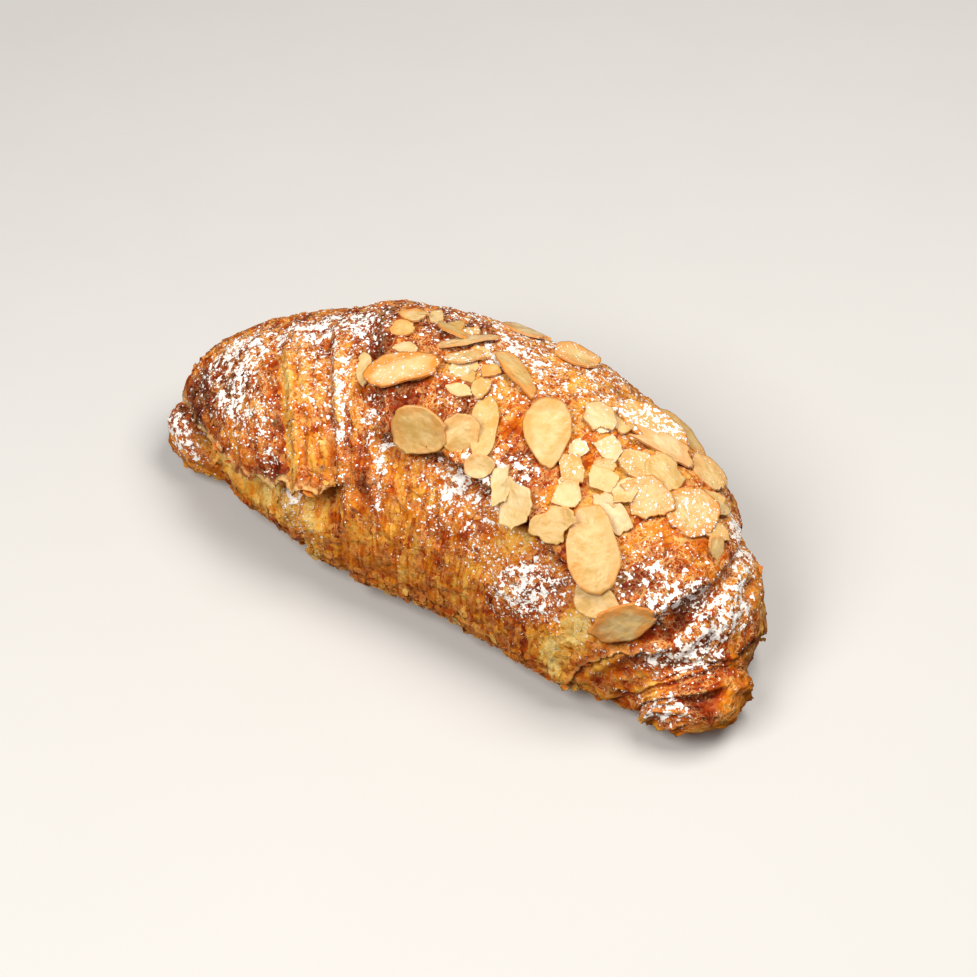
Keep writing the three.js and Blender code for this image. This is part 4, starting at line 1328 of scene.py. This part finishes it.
def crust_material():
    graph = Graph("crust")
    cover = graph.attribute("sugar")
    large_height, large_value = graph.plates(2.2)
    small_height, _ = graph.plates(1.0)
    leaf_height, leaf_value, leaf_rim_glint = graph.leaves(1.5, 5.0)
    from_tips = graph.step(graph.math("ABSOLUTE", graph.attribute("flow")), 80.0, 88.0, 1.0, 0.0)
    # Pits: sunk in the bump, and painted darker as shade in them
    pits_painted_dark = graph.step(graph.noise(1.0, 1.0), -0.26, -0.17, 1.0, 0.0)
    tone = graph.total(
        graph.attribute("browning_and_shade"),
        (graph.noise(6.0, 3.0), 0.34),
        (graph.times(graph.strands(1.4, 10.0), from_tips), 0.42),
        (graph.noise(1.8, 2.0), 0.15),
        (large_value, 0.10),
        (graph.times(leaf_value, from_tips), 0.30),
        (pits_painted_dark, 0.12),
    )
    # Thin pale lines and leaf rims: partly pale stretched dough, partly painted glints, stronger on the
    # upper side and on paler crust
    thin = graph.step(graph.math("ABSOLUTE", graph.noise(1.5, 1.5)), 0.015, 0.06, 1.0, 0.0)
    shown = graph.step(graph.total(graph.noise(4.0, 2.0), (cover, 0.40)), -0.08, 0.16)
    above = graph.step(graph.attribute("round"), 112.0 * ARC, 138.0 * ARC, 0.62, 0.36)
    glint_strength = graph.times(graph.step(tone, 0.55, 1.0, 1.0, 0.25), above)
    pale = graph.math("MAXIMUM", thin, graph.times(leaf_rim_glint, 0.8))
    glinting_squiggles = graph.times(graph.times(pale, shown), glint_strength)
    # The layers' own pale edges, and the painted glints
    pale_and_glint = graph.math("MAXIMUM", glinting_squiggles, graph.attribute("rim"))
    colour = graph.mix(pale_and_glint, graph.ramp(tone, CRUST_STOPS), CRUST_PALE_AND_GLINT)
    sugar, dust = graph.sugar_mask(cover)
    dusted = graph.mix(dust, colour, SUGAR_DUST)
    height = graph.total(
        graph.times(large_height, 0.35),
        (small_height, 0.25),
        (graph.times(leaf_height, from_tips), 0.60),
        (glinting_squiggles, 0.16),
        (pits_painted_dark, -0.20),
        (sugar, 0.12),
    )
    gloss = graph.step(graph.noise(2.0, 2.0), -0.2, 0.2, 0.46, 0.24)
    graph.surface(
        base_color=graph.mix(sugar, dusted, SUGAR_WHITE_WITH_BOUNCE),
        roughness=graph.total(gloss, (sugar, 0.45)),
        specular_ior_level=0.07,
        normal=graph.bump(height),
    )
    return graph.material


def almond_material():
    graph = Graph("almond")
    rim = graph.attribute("rim")
    toast = graph.attribute("toast")
    patch = graph.noise(7.0, 3.0)
    inner = graph.step(graph.total(rim, (patch, 2.4)), 0.44, 1.0)
    tone = graph.total(0.5, (graph.noise(3.0, 4.0), 1.2), (graph.attribute("tint"), 1.0))
    cream = graph.ramp(tone, ALMOND_STOPS)
    toasted = graph.mix(graph.times(inner, toast), cream, ALMOND_TOASTED)
    edge = graph.times(graph.step(rim, 0.93, 1.0), graph.total(0.06, (toast, 0.5)))
    skin_line = graph.mix(edge, toasted, ALMOND_EDGE)
    sugar, _ = graph.sugar_mask(graph.attribute("sugar"), 0.6)
    height = graph.total(
        graph.times(graph.noise(1.6, 4.0), 0.30),
        (graph.noise(5.0, 2.0), 0.7),
        (sugar, 0.12),
    )
    gloss = graph.step(graph.noise(3.0, 3.0), -0.2, 0.2, 0.30, 0.52)
    graph.surface(
        base_color=graph.mix(sugar, skin_line, SUGAR_WHITE_WITH_BOUNCE),
        roughness=graph.total(gloss, (sugar, 0.45)),
        normal=graph.bump(height),
        subsurface_weight=0.2,
        subsurface_scale=0.0015,
        subsurface_radius=(1.0, 0.6, 0.3),
    )
    return graph.material


def sugar_material():
    graph = Graph("sugar")
    graph.surface(
        base_color=graph.ramp(graph.total(0.5, (graph.noise(0.6), 0.8)), GRAIN_STOPS),
        roughness=graph.step(graph.noise(0.8), -0.3, 0.3, 0.75, 0.95),
        normal=graph.bump(graph.times(graph.noise(0.15), 0.05)),
    )
    return graph.material


def floor_material():
    graph = Graph("floor")
    graph.surface(
        base_color=graph.ramp(graph.total(0.5, (graph.noise(60.0), 0.3)), FLOOR_STOPS),
        roughness=graph.step(graph.noise(30.0), -0.3, 0.3, 0.7, 0.85),
        normal=graph.bump(graph.times(graph.noise(4.0), 0.02)),
    )
    return graph.material


# Floor, light and camera

def make_floor(material):
    mesh = bpy.data.meshes.new("floor")
    signs = ((-1, -1), (1, -1), (1, 1), (-1, 1))
    mesh.from_pydata([(x * FLOOR_REACH, y * FLOOR_REACH, 0.0) for x, y in signs], [], [(0, 1, 2, 3)])
    mesh.materials.append(material)
    floor = bpy.data.objects.new("floor", mesh)
    floor.visible_diffuse = False
    floor.visible_glossy = False
    bpy.context.scene.collection.objects.link(floor)
    return floor


def add_area_light(name, place, size, power, colour):
    data = bpy.data.lights.new(name, "AREA")
    data.size = size
    data.energy = power
    data.color = colour
    light = bpy.data.objects.new(name, data)
    light.location = place
    light.rotation_euler = (LOOK_AT - Vector(place)).to_track_quat("-Z", "Y").to_euler()
    bpy.context.scene.collection.objects.link(light)


def add_world():
    world = bpy.data.worlds.new("studio")
    world.use_nodes = True
    background = world.node_tree.nodes["Background"]
    background.inputs["Color"].default_value = WORLD_COLOUR
    background.inputs["Strength"].default_value = WORLD_STRENGTH
    bpy.context.scene.world = world


def add_camera():
    data = bpy.data.cameras.new("camera")
    data.lens = LENS
    data.sensor_width = SENSOR_WIDTH
    data.clip_start = CLIP_START
    camera = bpy.data.objects.new("camera", data)
    back = Vector((
        math.sin(AZIMUTH) * math.cos(ELEVATION),
        -math.cos(AZIMUTH) * math.cos(ELEVATION),
        math.sin(ELEVATION),
    ))
    camera.location = LOOK_AT + back * DISTANCE
    camera.rotation_euler = back.to_track_quat("Z", "Y").to_euler()
    bpy.context.scene.collection.objects.link(camera)
    bpy.context.scene.camera = camera


crust_look = crust_material()
crust = make_crust(crust_look)
flakes = make_flakes(almond_material())
scales = make_scales(crust_look)
grains = make_grains(sugar_material())
floor = make_floor(floor_material())
add_camera()
add_world()
for light in LIGHTS:
    add_area_light(**light)
bpy.context.scene.view_settings.view_transform = "Standard"

for piece, slot in ((crust, "crust"), (scales, "crust"), (flakes, "almond"), (grains, "sugar")):
    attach(piece, "root")
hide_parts("croissant")
